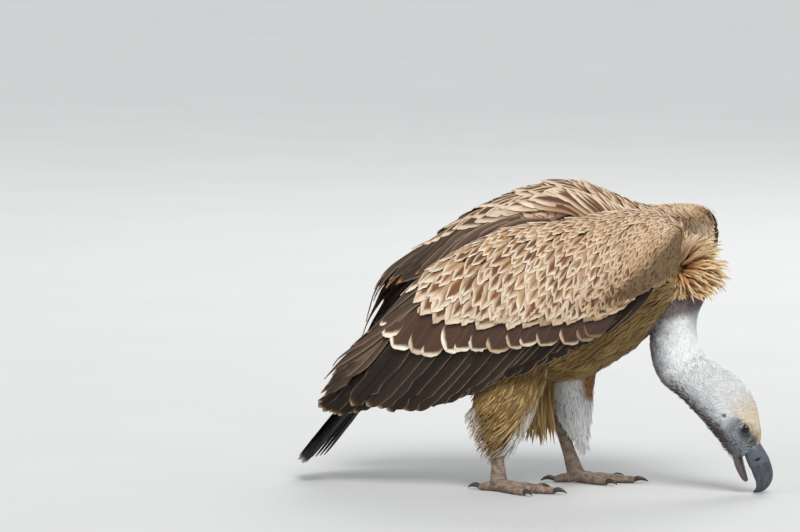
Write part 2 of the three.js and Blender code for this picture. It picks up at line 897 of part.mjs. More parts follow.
function thigh(leg) {
  const locks = [];
  for (let row = 0; row < TROUSER_ROWS; row++)
    for (let i = 0; i < TROUSER_PER_ROW; i++) locks.push(trouserLock(leg, row, i));
  return fuse([thighCore(leg), ...locks]);
}

function shank(leg, grow = 0) {
  const line = new THREE.LineCurve3(leg.ankle, leg.foot);
  const across = vec(0, 1, 0);
  const along = leg.foot.clone().sub(leg.ankle).normalize();
  const front = across.clone().cross(along).normalize();
  const end = grow / leg.ankle.distanceTo(leg.foot);
  const radii = [
    [-end, 1.25],
    [0.12, 1.15],
    [0.35, 0.95],
    [0.7, 0.95],
    [0.9, 1.15],
    [1 + end, 1.3],
  ];
  return body(
    radii.map(([t, share]) =>
      oval(
        line.getPoint(t),
        across,
        front,
        SHANK_RADIUS * share * 0.92 + grow,
        SHANK_RADIUS * share + grow,
        SHANK_RADIUS * share + grow,
        12,
      ),
    ),
  );
}

// Toes: turn from the foot's facing in degrees, length, thickness at the root.
const TOES = [
  { name: "inner", turn: 34, length: 62, thick: 8.5 },
  { name: "middle", turn: 0, length: 92, thick: 9 },
  { name: "outer", turn: -32, length: 66, thick: 8 },
  { name: "hind", turn: 172, length: 34, thick: 8 },
];
const CLAW_LENGTH = 21;

function toeLine(leg, toe) {
  const turn = leg.facing + rad(toe.turn) * leg.side * -1;
  const heading = vec(Math.cos(turn), Math.sin(turn), 0);
  return { heading, across: vec(-heading.y, heading.x, 0) };
}

function toeSolid(leg, toe) {
  const { heading, across } = toeLine(leg, toe);
  const rows = [
    [0, 1.25, 12],
    [0.26, 1.02, 8.2],
    [0.78, 0.88, 5.1],
    [1, 0.62, 4.8],
  ];
  const up = vec(0, 0, 1);
  return body(
    rows.map(([t, share, z]) =>
      oval(
        vec(leg.foot.x, leg.foot.y, z).addScaledVector(heading, toe.length * t),
        across,
        up,
        toe.thick * share,
        toe.thick * share * 0.9,
        z + 1.2,
        8,
      ),
    ),
  );
}

function clawSolid(leg, toe) {
  const { heading, across } = toeLine(leg, toe);
  const rows = [
    [0, 5.2, 4.2],
    [0.35, 7.6, 3.8],
    [0.75, 6.2, 2.4],
    [1, 3.0, 0.8],
  ];
  const start = toe.length + GAP;
  return body(
    rows.map(([t, z, r]) =>
      oval(
        vec(leg.foot.x, leg.foot.y, z).addScaledVector(heading, start + CLAW_LENGTH * t),
        across,
        vec(0, 0, 1),
        r * 0.75,
        r,
        Math.min(r, z - 0.4),
        6,
      ),
    ),
  );
}

// ---------------------------------------------------------------- cutters
// A straight prism across the figure from an outline of points in its middle plane.
function prism(outline, halfWidth = 300) {
  return body([-halfWidth, halfWidth].map((y) => outline.map(([x, z]) => vec(x, y, z))));
}

// Everything before or behind the plane across the neck at s.
function neckSide(s, direction) {
  const { centre, along, up } = neckFrame(s);
  const reach = 120;
  const near = (a, b) => {
    const point = centre.clone().addScaledVector(up, a).addScaledVector(along, b * direction);
    return [point.x, point.z];
  };
  return prism([near(-reach, 0), near(reach, 0), near(reach, reach), near(-reach, reach)]);
}

// What lies under the floor, which the soles are cut flat on.
const SLAB = 600;
const floorSlab = prism([
  [-SLAB, 0],
  [SLAB, 0],
  [SLAB, -SLAB],
  [-SLAB, -SLAB],
]);
const mouth = prism([GAPE, MOUTH_UPPER, MOUTH_LOWER]);

// ---------------------------------------------------------------- assembly
const figure = new THREE.Group();
figure.position.copy(CENTRE_SHIFT);

const torsoSolid = torso();
const torsoRoom = torso(GAP);
figure.add(meshOf("torso", torsoSolid, COLOURS.body));

const neckRoom = neckLength(RUFF_TO + GAP / 2, NECK_MIDDLE, GAP);
const lengths = [
  ["ruff", ruff().subtract(torsoRoom).subtract(neckRoom), COLOURS.ruff],
  ["neck_lower", neckLength(RUFF_TO + GAP, NECK_MIDDLE).subtract(torsoRoom), COLOURS.down],
  ["neck_upper", neckLength(NECK_MIDDLE + GAP, NECK_TO), COLOURS.down],
];
for (const [name, whole, colour] of lengths) figure.add(meshOf(name, whole, colour));

// The head starts on the end of the neck, and its front closes round the base of the bill.
let head = fuse([skull(), lidRing(1), lidRing(-1)]);
head = head.subtract(neckSide(NECK_TO + GAP, -1)).subtract(mouth);
for (const side of [1, -1]) {
  head = head.subtract(ball(mirrored(EYE, side), EYE_RADIUS + GAP));
  head = head.subtract(ball(mirrored(EAR, side), EAR_RADIUS, 8));
}
const skullRoom = skull(GAP);
figure.add(meshOf("head", head, COLOURS.down));
const upperBill = billPart(UPPER_BILL).subtract(skullRoom).subtract(nostril(1)).subtract(nostril(-1));
figure.add(meshOf("bill_upper", upperBill, COLOURS.horn, 0.4));
figure.add(meshOf("bill_lower", billPart(LOWER_BILL).subtract(skullRoom), COLOURS.horn, 0.4));
for (const [name, side] of [
  ["left", 1],
  ["right", -1],
])
  figure.add(meshOf(`eye_${name}`, ball(mirrored(EYE, side), EYE_RADIUS), COLOURS.eye, 0.1));

for (const [name, one] of Object.entries(WINGS))
  figure.add(meshOf(`wing_${name}`, wing(one).subtract(torsoRoom), COLOURS.covert));
figure.add(meshOf("tail", tail().subtract(torsoRoom), COLOURS.flight));

for (const [name, leg] of Object.entries(LEGS)) {
  figure.add(
    meshOf(`thigh_${name}`, thigh(leg).subtract(torsoRoom).subtract(shank(leg, GAP)), COLOURS.ruff),
  );
  figure.add(meshOf(`shank_${name}`, shank(leg), COLOURS.scale));
  const toes = TOES.map((toe) => toeSolid(leg, toe));
  const foot = fuse(toes).subtract(floorSlab).subtract(shank(leg, GAP));
  figure.add(meshOf(`foot_${name}`, foot, COLOURS.scale));
  for (const toe of TOES)
    figure.add(meshOf(`claw_${name}_${toe.name}`, clawSolid(leg, toe), COLOURS.claw, 0.4));
}

export default figure;
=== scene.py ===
# %% [markdown]
# # A griffon vulture lowering its bill to the ground
#
# The bird is one body with many coverings: wool on the neck, a ruff of lances, small scale-like
# feathers on the wings, long stiff flight feathers, trousers on the thighs and bare scaled feet. Each
# covering gets its own piece. Everything is in metres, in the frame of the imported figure: +X is where
# the bird faces, +Y its left side, +Z up.

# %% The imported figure
import json
import math
from functools import partialmethod

import bmesh
import bpy
import numpy as np
from mathutils import Matrix, Vector, noise
from mathutils.bvhtree import BVHTree
from numpy.random import default_rng

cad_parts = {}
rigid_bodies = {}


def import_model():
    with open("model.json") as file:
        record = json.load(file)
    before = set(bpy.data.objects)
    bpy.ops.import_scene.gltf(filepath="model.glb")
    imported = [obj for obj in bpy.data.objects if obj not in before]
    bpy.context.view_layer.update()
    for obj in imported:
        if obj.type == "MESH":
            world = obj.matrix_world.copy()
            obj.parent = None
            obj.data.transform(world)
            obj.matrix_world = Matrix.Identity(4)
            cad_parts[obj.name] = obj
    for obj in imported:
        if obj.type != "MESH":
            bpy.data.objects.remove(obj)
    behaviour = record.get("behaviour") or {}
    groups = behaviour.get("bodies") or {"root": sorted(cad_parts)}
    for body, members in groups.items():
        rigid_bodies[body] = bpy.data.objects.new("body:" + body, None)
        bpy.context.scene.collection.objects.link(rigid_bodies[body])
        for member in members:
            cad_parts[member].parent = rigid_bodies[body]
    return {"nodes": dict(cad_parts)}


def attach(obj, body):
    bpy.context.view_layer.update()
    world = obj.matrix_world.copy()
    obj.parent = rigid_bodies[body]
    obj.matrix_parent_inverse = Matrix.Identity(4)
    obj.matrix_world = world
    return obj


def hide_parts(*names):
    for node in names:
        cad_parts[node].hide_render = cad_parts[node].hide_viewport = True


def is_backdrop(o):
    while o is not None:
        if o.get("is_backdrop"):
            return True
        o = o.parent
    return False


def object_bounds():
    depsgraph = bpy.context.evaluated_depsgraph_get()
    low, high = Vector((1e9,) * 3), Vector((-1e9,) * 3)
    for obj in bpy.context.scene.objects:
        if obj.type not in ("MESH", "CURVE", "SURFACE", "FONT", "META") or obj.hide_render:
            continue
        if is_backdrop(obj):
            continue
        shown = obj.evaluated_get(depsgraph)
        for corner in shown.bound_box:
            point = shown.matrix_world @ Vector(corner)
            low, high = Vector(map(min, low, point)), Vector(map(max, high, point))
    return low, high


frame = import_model()
cad_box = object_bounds()
MM = 0.001
print("packed figure:", len(frame["nodes"]), "nodes,", [round(v, 3) for v in cad_box[1] - cad_box[0]])

# %% [markdown]
# ## Camera, floor and light
#
# A long lens from ten metres keeps the bird's proportions flat and true. The camera could be placed by
# eye; naming its direction and the width that it sees makes it exact.

# %% Camera
AZIMUTH = math.radians(15)
ELEVATION = math.radians(5.5)
DISTANCE = 10.0
SEEN_WIDTH = 1.24  # metres across the picture at the bird
SENSOR = 36.0
RIGHT = Vector((math.cos(AZIMUTH), math.sin(AZIMUTH), 0))
UP = Vector((-math.sin(AZIMUTH) * math.sin(ELEVATION), math.cos(AZIMUTH) * math.sin(ELEVATION),
             math.cos(ELEVATION)))
BACK = RIGHT.cross(UP)
AIM = RIGHT * -0.206 + UP * 0.341  # the middle of the view

lens = bpy.data.cameras.new("camera")
lens.sensor_width = SENSOR
lens.lens = SENSOR * DISTANCE / SEEN_WIDTH
lens.clip_end = 100  # metres, past the far edge of the floor
camera = bpy.data.objects.new("camera", lens)
turned = Matrix((RIGHT, UP, BACK)).transposed().to_4x4()
camera.matrix_world = Matrix.Translation(AIM + BACK * DISTANCE) @ turned
bpy.context.collection.objects.link(camera)
bpy.context.scene.camera = camera
print("lens", round(lens.lens, 1), "mm")

# %% [markdown]
# Soft light suits feathers: a broad sun above models the back and lights the floor evenly, a wide weak
# lamp fills the flank, and an even sky keeps the shadows open. The Standard view shows each colour as
# it is mixed.

# %% Lamps and sky
LAMPS = [  # name, kind, place, width in radians or metres, power
    ("key", "SUN", (1.7, -3.1, 4.4), 0.5, 2.5),
    ("fill", "AREA", (-4.0, -4.5, 2.2), 4.0, 90),
    ("back", "AREA", (0.5, 4.5, 4.0), 3.0, 110),
]
LIT = Vector((0, 0, 0.25))  # the middle of the bird, where the lamps point
SKY_COLOUR, SKY_STRENGTH = (0.86, 0.9, 0.95, 1), 0.62
for name, kind, place, width, power in LAMPS:
    lamp = bpy.data.lights.new(name, kind)
    setattr(lamp, "angle" if kind == "SUN" else "size", width)
    lamp.energy = power
    holder = bpy.data.objects.new(name, lamp)
    holder.location = place
    holder.rotation_euler = (LIT - Vector(place)).to_track_quat("-Z", "Y").to_euler()
    bpy.context.collection.objects.link(holder)
sky = bpy.data.worlds.new("sky")
sky.use_nodes = True
glow = sky.node_tree.nodes["Background"].inputs
glow["Color"].default_value, glow["Strength"].default_value = SKY_COLOUR, SKY_STRENGTH
bpy.context.scene.world = sky
bpy.context.scene.view_settings.view_transform = "Standard"
print(len(LAMPS), "lamps")

# %% [markdown]
# ## Writing finishes
#
# A material is a small sum over the surface. Wiring it by hand in a long list of links hides the sum, so
# one class wraps a socket and lets Python's own operators add the Math nodes. Any other node comes from
# one call that takes its kind, its settings and the values or links of its sockets.

# %% Shader expressions
class Wire:
    """An output socket that adds Math nodes when it is used in an expression."""

    def __init__(self, finish, socket):
        self.finish, self.socket = finish, socket

    def math(self, operation, *others):
        values = dict(enumerate((self, *others)))
        return self.finish.node("ShaderNodeMath", {"operation": operation}, values)

    def __rsub__(self, other):
        return self.finish.node("ShaderNodeMath", {"operation": "SUBTRACT"}, {0: other, 1: self})

    def step(self, low, high):
        """0 below low, 1 above high, smooth between them; falls when low is the larger."""
        return self.finish.node("ShaderNodeMapRange", {"interpolation_type": "SMOOTHSTEP"},
                                {"Value": self, "From Min": low, "From Max": high})


for symbol, operation in [("add", "ADD"), ("radd", "ADD"), ("sub", "SUBTRACT"), ("mul", "MULTIPLY"),
                          ("rmul", "MULTIPLY"), ("truediv", "DIVIDE"), ("pow", "POWER")]:
    setattr(Wire, f"__{symbol}__", partialmethod(Wire.math, operation))


# %% Finishes
class Finish:
    """A material and the calls that build its nodes."""

    def __init__(self, name, roughness=0.8, **constants):
        self.material = bpy.data.materials.new(name)
        self.material.use_nodes = True
        self.tree = self.material.node_tree
        self.surface = self.tree.nodes["Principled BSDF"]
        self.surface.inputs["Roughness"].default_value = roughness
        for socket, value in constants.items():
            self.surface.inputs[socket.replace("_", " ")].default_value = value

    def node(self, kind, settings=None, values=None, output=0):
        made = self.tree.nodes.new(kind)
        for key, value in (settings or {}).items():
            setattr(made, key, value)
        for key, value in (values or {}).items():
            if isinstance(value, Wire):
                self.tree.links.new(value.socket, made.inputs[key])
            else:
                made.inputs[key].default_value = value
        return Wire(self, made.outputs[output])

    def mix(self, share, first, second, blend="MIX"):
        return self.node("ShaderNodeMix", {"data_type": "RGBA", "blend_type": blend},
                         {0: share, 6: first, 7: second}, 2)

    def tell(self, name, output="Fac"):
        return self.node("ShaderNodeAttribute", {"attribute_name": name}, output=output)

    def place(self):
        return self.node("ShaderNodeTexCoord", output="Object")

    def axes(self, vector):
        apart = self.node("ShaderNodeSeparateXYZ", values={0: vector})
        return [Wire(self, apart.socket.node.outputs[k]) for k in range(3)]

    def vector(self, x, y, z):
        return self.node("ShaderNodeCombineXYZ", values={0: x, 1: y, 2: z})

    def speckle(self, vector, scale, detail=2.0):
        return self.node("ShaderNodeTexNoise", values={"Vector": vector, "Scale": scale, "Detail": detail})

    def stretch(self, vector, factors):
        return self.node("ShaderNodeMapping", values={0: vector, 3: factors})

    def coats(self, colour, *layers):
        """A colour with layers of (share, colour) laid over it in turn."""
        for share, layer in layers:
            colour = self.mix(share, colour, layer)
        return colour

    def shaded(self, colour, shade):
        """A colour made darker or lighter by a number round 1."""
        grey = self.node("ShaderNodeCombineColor", values={0: shade, 1: shade, 2: shade})
        return self.mix(1.0, colour, grey, "MULTIPLY")

    def feather(self):
        """Across, from -1 to 1, and along, from 0 at the root to 1 at the tip."""
        across, along, _ = self.axes(self.node("ShaderNodeUVMap", {"uv_map": "Feather"}))
        return across * 2 - 1, along

    def paint(self, colour=None, roughness=None, height=None, depth=0.001, strength=1.0):
        for wire, socket in ((colour, "Base Color"), (roughness, "Roughness")):
            if wire is not None:
                self.tree.links.new(wire.socket, self.surface.inputs[socket])
        if height is not None:
            relief = {"Height": height, "Distance": depth, "Strength": strength}
            bump = self.node("ShaderNodeBump", values=relief)
            self.tree.links.new(bump.socket, self.surface.inputs["Normal"])
        return self.material


def hue(red, green, blue):
    """A colour from screen values of 0 to 255."""
    return (*[((v / 255 + 0.055) / 1.055) ** 2.4 if v > 10 else v / 3294 for v in (red, green, blue)], 1.0)


# %% Floor
floor_finish = Finish("studio floor", 0.75)
grain = floor_finish.speckle(floor_finish.place(), 3.0, 5.0)
floor_colour = floor_finish.mix(grain, hue(192, 192, 190), hue(199, 199, 197))
floor_mesh = bpy.data.meshes.new("floor")
FLOOR = 45.0  # metres from the middle of the floor to its sides
floor_mesh.from_pydata([(-FLOOR, -FLOOR, 0), (FLOOR, -FLOOR, 0), (FLOOR, FLOOR, 0), (-FLOOR, FLOOR, 0)], [],
                       [(0, 1, 2, 3)])
floor_mesh.materials.append(floor_finish.paint(floor_colour))
floor = bpy.data.objects.new("floor", floor_mesh)
bpy.context.collection.objects.link(floor)
floor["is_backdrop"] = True

# %% [markdown]
# ## The measurements of the bird
#
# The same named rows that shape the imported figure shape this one: along the trunk, down the neck, round
# the head, over the folded wings. A smooth curve runs through each column of a table, so a few rows give
# a whole form. Sculpting would be freer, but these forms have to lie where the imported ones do.

# %% Tables in millimetres
TORSO = [  # X, height of the axis, reach up, reach down, half width
    (-226, 214, 1, 1, 1), (-210, 218, 24, 24, 27), (-130, 236, 60, 62, 62), (-60, 258, 96, 90, 86),
    (10, 280, 116, 116, 99), (80, 300, 122, 130, 104), (140, 316, 116, 112, 98), (195, 328, 98, 82, 84),
    (232, 334, 66, 54, 60), (250, 335, 2, 2, 2)]
NECK = [  # distance, X, Z, half depth at the nape, at the throat, half width
    (0, 166, 338, 40, 40, 40), (50, 214, 338, 43, 42, 42), (85, 237, 316, 37, 42, 40),
    (120, 233, 281, 27, 38, 36), (160, 224, 244, 34, 37, 34), (200, 225, 204, 41, 35, 33),
    (240, 250, 173, 46, 38, 33), (262, 268, 162, 45, 37, 33.5), (300, 295, 137, 44, 40, 34)]
HEAD = [  # distance, crown X and Z, throat X and Z, half width
    (-20, 269, 220, 216, 160, 33), (0, 284, 205, 232, 146, 33.5), (20, 303, 193, 249, 132, 34),
    (40, 325, 179, 265, 118, 34), (56, 341, 161, 280, 101, 33), (72, 352, 139, 291, 88, 31.5),
    (88, 358, 116, 299, 77, 29), (102, 361, 96, 307, 66, 25), (114, 360.5, 81, 314, 56, 20),
    (122, 358, 73, 319, 50, 17)]
THIGHS = {  # Z, middle X and Y, half length, half width
    "right": [(74, -26, -72, 12, 11), (88, -25, -71, 24, 20), (112, -23, -70, 36, 28),
              (145, -24, -67, 52, 35), (175, -16, -62, 56, 38), (215, 0, -54, 54, 36)],
    "left": [(64, 64, 62, 8, 9), (78, 60, 62, 16, 16), (98, 53, 62, 26, 24), (126, 47, 61, 38, 31),
             (155, 44, 58, 44, 36), (215, 48, 52, 52, 36)]}
TAIL_PAD = [(-34, 8, 6), (-20, 20, 14), (8, 27, 15), (45, 26, 11), (74, 20, 4)]  # distance, half sizes
EYE = np.array([340, 19.5, 102])
EYE_OUT = np.array([0.1, 1, 0.08]) / np.linalg.norm([0.1, 1, 0.08])
EYE_RADIUS = 10.0
EAR = np.array([309, 31.5, 122])
GAPE = np.array([328, 74.5])  # X and Z of the corner of the mouth
MOUTH_UPPER, MOUTH_LOWER = (356, 2), (340, -2)  # X and Z where the opening would reach the ground


# %% Curves through the tables
def read(rows, x):
    """Smooth values at x from rows of (x, value, ...): a cubic through the rows."""
    rows = np.asarray(rows, float)
    x = np.clip(np.asarray(x, float), rows[0, 0], rows[-1, 0])
    i = np.clip(np.searchsorted(rows[:, 0], x, side="right") - 1, 0, len(rows) - 2)
    a, b = rows[i], rows[i + 1]
    before, after = rows[np.maximum(i - 1, 0)], rows[np.minimum(i + 2, len(rows) - 1)]
    span = (b - a)[..., :1]
    t = (x[..., None] - a[..., :1]) / span
    start = (b - before)[..., 1:] / (b - before)[..., :1] * span
    end = (after - a)[..., 1:] / (after - a)[..., :1] * span
    t2, t3 = t * t, t * t * t
    return ((2 * t3 - 3 * t2 + 1) * a[..., 1:] + (t3 - 2 * t2 + t) * start
            + (3 * t2 - 2 * t3) * b[..., 1:] + (t3 - t2) * end)


def unit(vectors):
    return vectors / np.maximum(np.linalg.norm(vectors, axis=-1, keepdims=True), 1e-12)


def smooth(x, low, high):
    t = np.clip((x - low) / (high - low), 0, 1)
    return t * t * (3 - 2 * t)


print("eye", EYE, "ear", EAR)

# %% [markdown]
# The folded wing has a chart of its own: p runs from the wrist to the wing tip and w upwards over the
# back, in millimetres over the surface. Feathers are then laid out as on a flat sheet and the chart
# bends them round the bird. The left wing is held looser, so its back stands higher.

# %% Wing chart
WRIST = np.array([262.0, 0, 366])
SLOPE = math.radians(22.4)
ALONG = np.array([-math.cos(SLOPE), 0, -math.sin(SLOPE)])
OVER = np.array([-math.sin(SLOPE), 0, math.cos(SLOPE)])
CURTAIN = 330.0  # below its widest line the wing hangs almost flat
WINGS = {
    "right": {"side": -1, "shift": np.zeros(3), "chart": [  # p, level, half span, sideways and upright radius
        (-14, 50, 100, 3, 3), (-12, 46, 107, 12, 13), (-7, 40, 115, 24, 27), (3, 33, 123, 36, 44),
        (22, 26, 132, 48, 63), (56, 20, 138, 58, 84), (100, 18, 140, 66, 92), (170, 18, 139, 72, 110),
        (265, 18, 136, 74, 130), (340, 18, 130, 72, 124), (397, 17, 123, 68, 117), (445, 16, 117, 62, 98),
        (508, 12, 107, 52, 72), (576, 10, 96, 42, 50), (612, 9, 91, 34, 28), (650, 8, 86, 28, 16)]},
    "left": {"side": 1, "shift": np.array([4.0, 2, 12]), "chart": [
        (-14, 38, 100, 3, 4), (-12, 35, 107, 12, 13), (-7, 32, 115, 24, 23), (3, 28, 123, 36, 36),
        (30, 24, 136, 50, 52), (80, 24, 140, 60, 70), (110, 24, 141, 64, 96), (140, 26, 142, 68, 124),
        (180, 28, 142, 72, 148), (230, 30, 142, 76, 156), (280, 30, 141, 78, 158), (350, 30, 138, 78, 152),
        (410, 26, 132, 76, 142), (480, 22, 123, 70, 134), (520, 19, 117, 64, 116), (545, 16, 112, 58, 86),
        (580, 12, 106, 48, 48), (650, 8, 92, 34, 18)]}}
ARM = [  # p, height of its lower and upper edge, depth, lift over the chart
    (-13.5, -0.03, 0.35, 4, 0), (-8, -0.12, 0.85, 24, -0.5), (3, -0.28, 1.2, 40, -1),
    (22, -0.38, 1.38, 50, -1.5), (56, -0.44, 1.45, 56, -2), (100, -0.5, 1.48, 56, -3),
    (170, -0.54, 1.52, 54, -4.5), (240, -0.5, 1.6, 46, -4.5), (330, -0.34, 1.55, 34, -4.5),
    (400, -0.02, 1.35, 28, -5), (440, 0.06, 1.05, 24, -6), (466, 0.2, 0.8, 10, -8)]

# %% Places on the wing
CHART_STEP = 1.5  # millimetres to either side, over which the chart's directions are taken


def chart(one, p, w):
    level, span, sideways, upright = np.moveaxis(read(one["chart"], p), -1, 0)
    above = w >= 0
    radius = np.where(above, (sideways + upright) / 2, CURTAIN)
    reach, rise = np.where(above, sideways, CURTAIN), np.where(above, upright, CURTAIN)
    angle = w / radius
    point = (WRIST + one["shift"] + ALONG * p[..., None] + OVER * (level + rise * np.sin(angle))[..., None])
    out = np.maximum(4.0, one["shift"][1] + span - reach * (1 - np.cos(angle)))
    point[..., 1] = one["side"] * out
    return point


def wing_frame(one, p, w):
    """Place on the chart, its outward normal, and the directions of p and w there."""
    dp = unit(chart(one, p + CHART_STEP, w) - chart(one, p - CHART_STEP, w))
    dw = unit(chart(one, p, w + CHART_STEP) - chart(one, p, w - CHART_STEP))
    return chart(one, p, w), unit(np.cross(dw, dp)) * -one["side"], dp, dw


def wing_height(one, p, height):
    """The w of a height: hundreds of millimetres below the widest line, shares of the crest above."""
    values = read(one["chart"], p)
    return np.where(height < 0, height * 100, height * (values[..., 2] + values[..., 3]) * math.pi / 4)


print("wing span", round(2 * read(WINGS["right"]["chart"], 170)[1]), "mm across the folded wings")

# %% [markdown]
# ## Meshes from arrays
#
# Numbers come in bulk, so meshes are filled from arrays instead of one call for each face. A closed tube
# of rings is the form behind the trunk, the neck, the toes and each feather alike.

# %% Mesh helpers
def mesh_of(name, points, faces):
    """A mesh from points in millimetres and rows of four corners; a corner given twice makes a triangle."""
    points, faces = np.asarray(points, float) * MM, np.asarray(faces)
    mesh = bpy.data.meshes.new(name)
    mesh.from_pydata(points.tolist(), [], [list(dict.fromkeys(row)) for row in faces.tolist()])
    mesh.shade_smooth()
    return mesh


def shown(name, mesh, material=None):
    piece = bpy.data.objects.new(name, mesh)
    bpy.context.collection.objects.link(piece)
    if material:
        dress(piece, material)
    return piece


def dress(piece, material):
    piece.data.materials.clear()
    piece.data.materials.append(material)


def tube_faces(rings, around):
    """Quads of a closed tube of rings, with a strip of quads over each end."""
    j, i = np.meshgrid(np.arange(rings - 1), np.arange(around), indexing="ij")
    k = (i + 1) % around
    sides = np.stack([j * around + i, j * around + k, (j + 1) * around + k, (j + 1) * around + i], -1)
    half = around // 2
    a = np.arange(half)
    first = np.stack([a, (around - a) % around, (around - a - 1) % around, a + 1], -1)
    last = first[:, ::-1] + (rings - 1) * around
    return np.concatenate([sides.reshape(-1, 4), first, last])


def outward(points, faces):
    """The faces, turned round if they enclose a negative volume."""
    a, b, c, d = (points[faces[:, k]] for k in range(4))
    volume = np.sum(np.cross(a, b) * c) + np.sum(np.cross(a, c) * d)
    return faces if volume > 0 else faces[:, ::-1]


def oval(middle, across, up, half, upper, lower, around):
    """Rings of ovals round an array of middles; the lower half may have its own depth."""
    across, up = np.broadcast_to(across, middle.shape), np.broadcast_to(up, middle.shape)
    turn = np.arange(around) / around * 2 * math.pi
    rise = np.where(np.sin(turn) >= 0, np.asarray(upper)[:, None], np.asarray(lower)[:, None]) * np.sin(turn)
    side = np.asarray(half)[:, None] * np.cos(turn)
    return middle[:, None] + across[:, None] * side[..., None] + up[:, None] * rise[..., None]


# %% [markdown]
# ## Skin
#
# Under its feathers a bird is one smooth body. The trunk, neck, head, thighs, the fleshy arms of the
# wings and the root of the tail are made as closed tubes, a voxel remesh melts them into one skin with
# no seam, and only the head is then divided finely for its lids, folds and mouth. The skin lies inside
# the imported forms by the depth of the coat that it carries.

# %% Flesh as closed tubes
SKIN_STEP = 5.0  # millimetres between the rings of the tubes
AROUND = {"torso": 64, "neck": 56, "head": 72, "thigh": 40, "arm": 72, "tail": 32}  # points in a ring
COAT = {"torso": 8.0, "neck": 3.4, "head": 1.4, "thigh": 8.0, "arm": 4.0, "tail": 4.0}
X, Y, Z = np.eye(3)
flesh = []  # part, points (rings, around, 3) and the lie of the coat there


def add_flesh(part, rings, lie=None):
    """Keeps a tube of flesh; its coat lies back towards the first ring unless a lie is given."""
    flesh.append((part, rings, unit(-np.gradient(rings, axis=0) if lie is None else lie)))


def steps_between(low, high):
    return np.linspace(low, high, max(4, int((high - low) / SKIN_STEP) + 1))


def neck_frame(s):
    x, z, nape, throat, half = np.moveaxis(read(NECK, s), -1, 0)
    ahead, behind = read(NECK, s + 0.5), read(NECK, s - 0.5)
    along = np.zeros((len(s), 3))
    along[:, 0], along[:, 2] = (ahead - behind)[:, 0], (ahead - behind)[:, 1]
    along = unit(along)
    up = np.stack([-along[:, 2], 0 * s, along[:, 0]], -1)
    return np.stack([x, 0 * s, z], -1), along, up, nape, throat, half


# %% Flesh of the trunk, neck and head
x = steps_between(-225, 249)
height, up, down, half = np.moveaxis(read(TORSO, x), -1, 0)
depth = np.minimum(COAT["torso"], up * 0.8)
rings = oval(np.stack([x, 0 * x, height], -1), Y, Z, half - np.minimum(depth, half * 0.8), up - depth,
             down - depth, AROUND["torso"])
add_flesh("torso", rings, -np.gradient(rings, axis=0) + np.array([0, 0, -0.6]))

s = steps_between(20, 240)
middle, along, up, nape, throat, half = neck_frame(s)
depth = COAT["neck"] + 6 * (1 - smooth(s, 40, 110)) + 7 * smooth(s, 218, 240)
add_flesh("neck", oval(middle, Y, up, half - depth, nape - depth, throat - depth, AROUND["neck"]))

s = steps_between(-18, 122)
cx, cz, tx, tz, half = np.moveaxis(read(HEAD, s), -1, 0)
up = np.stack([cx - tx, 0 * s, cz - tz], -1)
reach = np.linalg.norm(up, axis=-1) / 2
depth = COAT["head"] + 2.0 * (1 - smooth(s, -10, 60))
add_flesh("head", oval(np.stack([(cx + tx) / 2, 0 * s, (cz + tz) / 2], -1), Y, unit(up), half - depth,
                       reach - depth, reach - depth, AROUND["head"]))

# %% Flesh of the thighs, arms and tail
SWEEP = {"right": np.array([-0.75, 0, -1.0]), "left": np.array([0.12, 0, -1.0])}
for side, rows in THIGHS.items():
    z = steps_between(rows[0][0] + 2, 215)
    x, y, long, wide = np.moveaxis(read(rows, z), -1, 0)
    depth = np.minimum(COAT["thigh"], wide * 0.45)
    rings = oval(np.stack([x, y, z], -1), X, Y, long - depth, wide - depth, wide - depth, AROUND["thigh"])
    add_flesh("thigh_" + side, rings, np.broadcast_to(SWEEP[side], rings.shape))

for side, one in WINGS.items():
    p = -13.0 + 479 * np.linspace(0, 1, 84) ** 1.25
    low, high, deep, lift = np.moveaxis(read(ARM, p), -1, 0)
    start, end = wing_height(one, p, low), wing_height(one, p, high)
    turn = np.arange(AROUND["arm"]) / AROUND["arm"] * 2 * math.pi
    w = start[:, None] + (end - start)[:, None] * (0.5 - 0.5 * np.cos(turn))
    lens_shape = np.sin(turn)
    edge = lift[:, None] - COAT["arm"] - np.minimum(6, deep[:, None] / 4) * (1 - np.abs(lens_shape))
    edge = edge + np.where(lens_shape < 0, (deep[:, None] - COAT["arm"]) * lens_shape, 0)
    spot, normal, dp, dw = wing_frame(one, np.broadcast_to(p[:, None], w.shape), w)
    add_flesh("arm_" + side, spot + normal * edge[..., None], dp * math.cos(0.6) - dw * math.sin(0.6))

TAIL_ROOT = np.array([-218.0, 0, 222])
FALL = math.radians(50.7)
TAIL_ALONG = np.array([-math.cos(FALL), 0, -math.sin(FALL)])
TAIL_TOP = np.array([-math.sin(FALL), 0, math.cos(FALL)])
t = steps_between(-34, 72)
half, thick = np.moveaxis(read(TAIL_PAD, t), -1, 0)
rings = oval(TAIL_ROOT + TAIL_ALONG * t[:, None], Y, TAIL_TOP, half - 2, thick - 1.5, thick - 1.5,
             AROUND["tail"])
add_flesh("tail", rings, np.broadcast_to(TAIL_ALONG, rings.shape))
PARTS = [part for part, _, _ in flesh]
print("tubes of flesh:", PARTS)

# %% One skin from all of them
def tubes(every):
    """Points and faces of closed tubes, each given as rings of points."""
    points, faces, count = [], [], 0
    for rings in every:
        body = rings.reshape(-1, 3)
        points.append(body)
        faces.append(outward(body, tube_faces(*rings.shape[:2])) + count)
        count += len(body)
    return np.concatenate(points), np.concatenate(faces)


def settle(piece):
    """Turns a piece with modifiers into a plain mesh."""
    plain = bpy.data.meshes.new_from_object(piece.evaluated_get(bpy.context.evaluated_depsgraph_get()))
    piece.modifiers.clear()
    old, piece.data = piece.data, plain
    bpy.data.meshes.remove(old)
    plain.name = piece.name


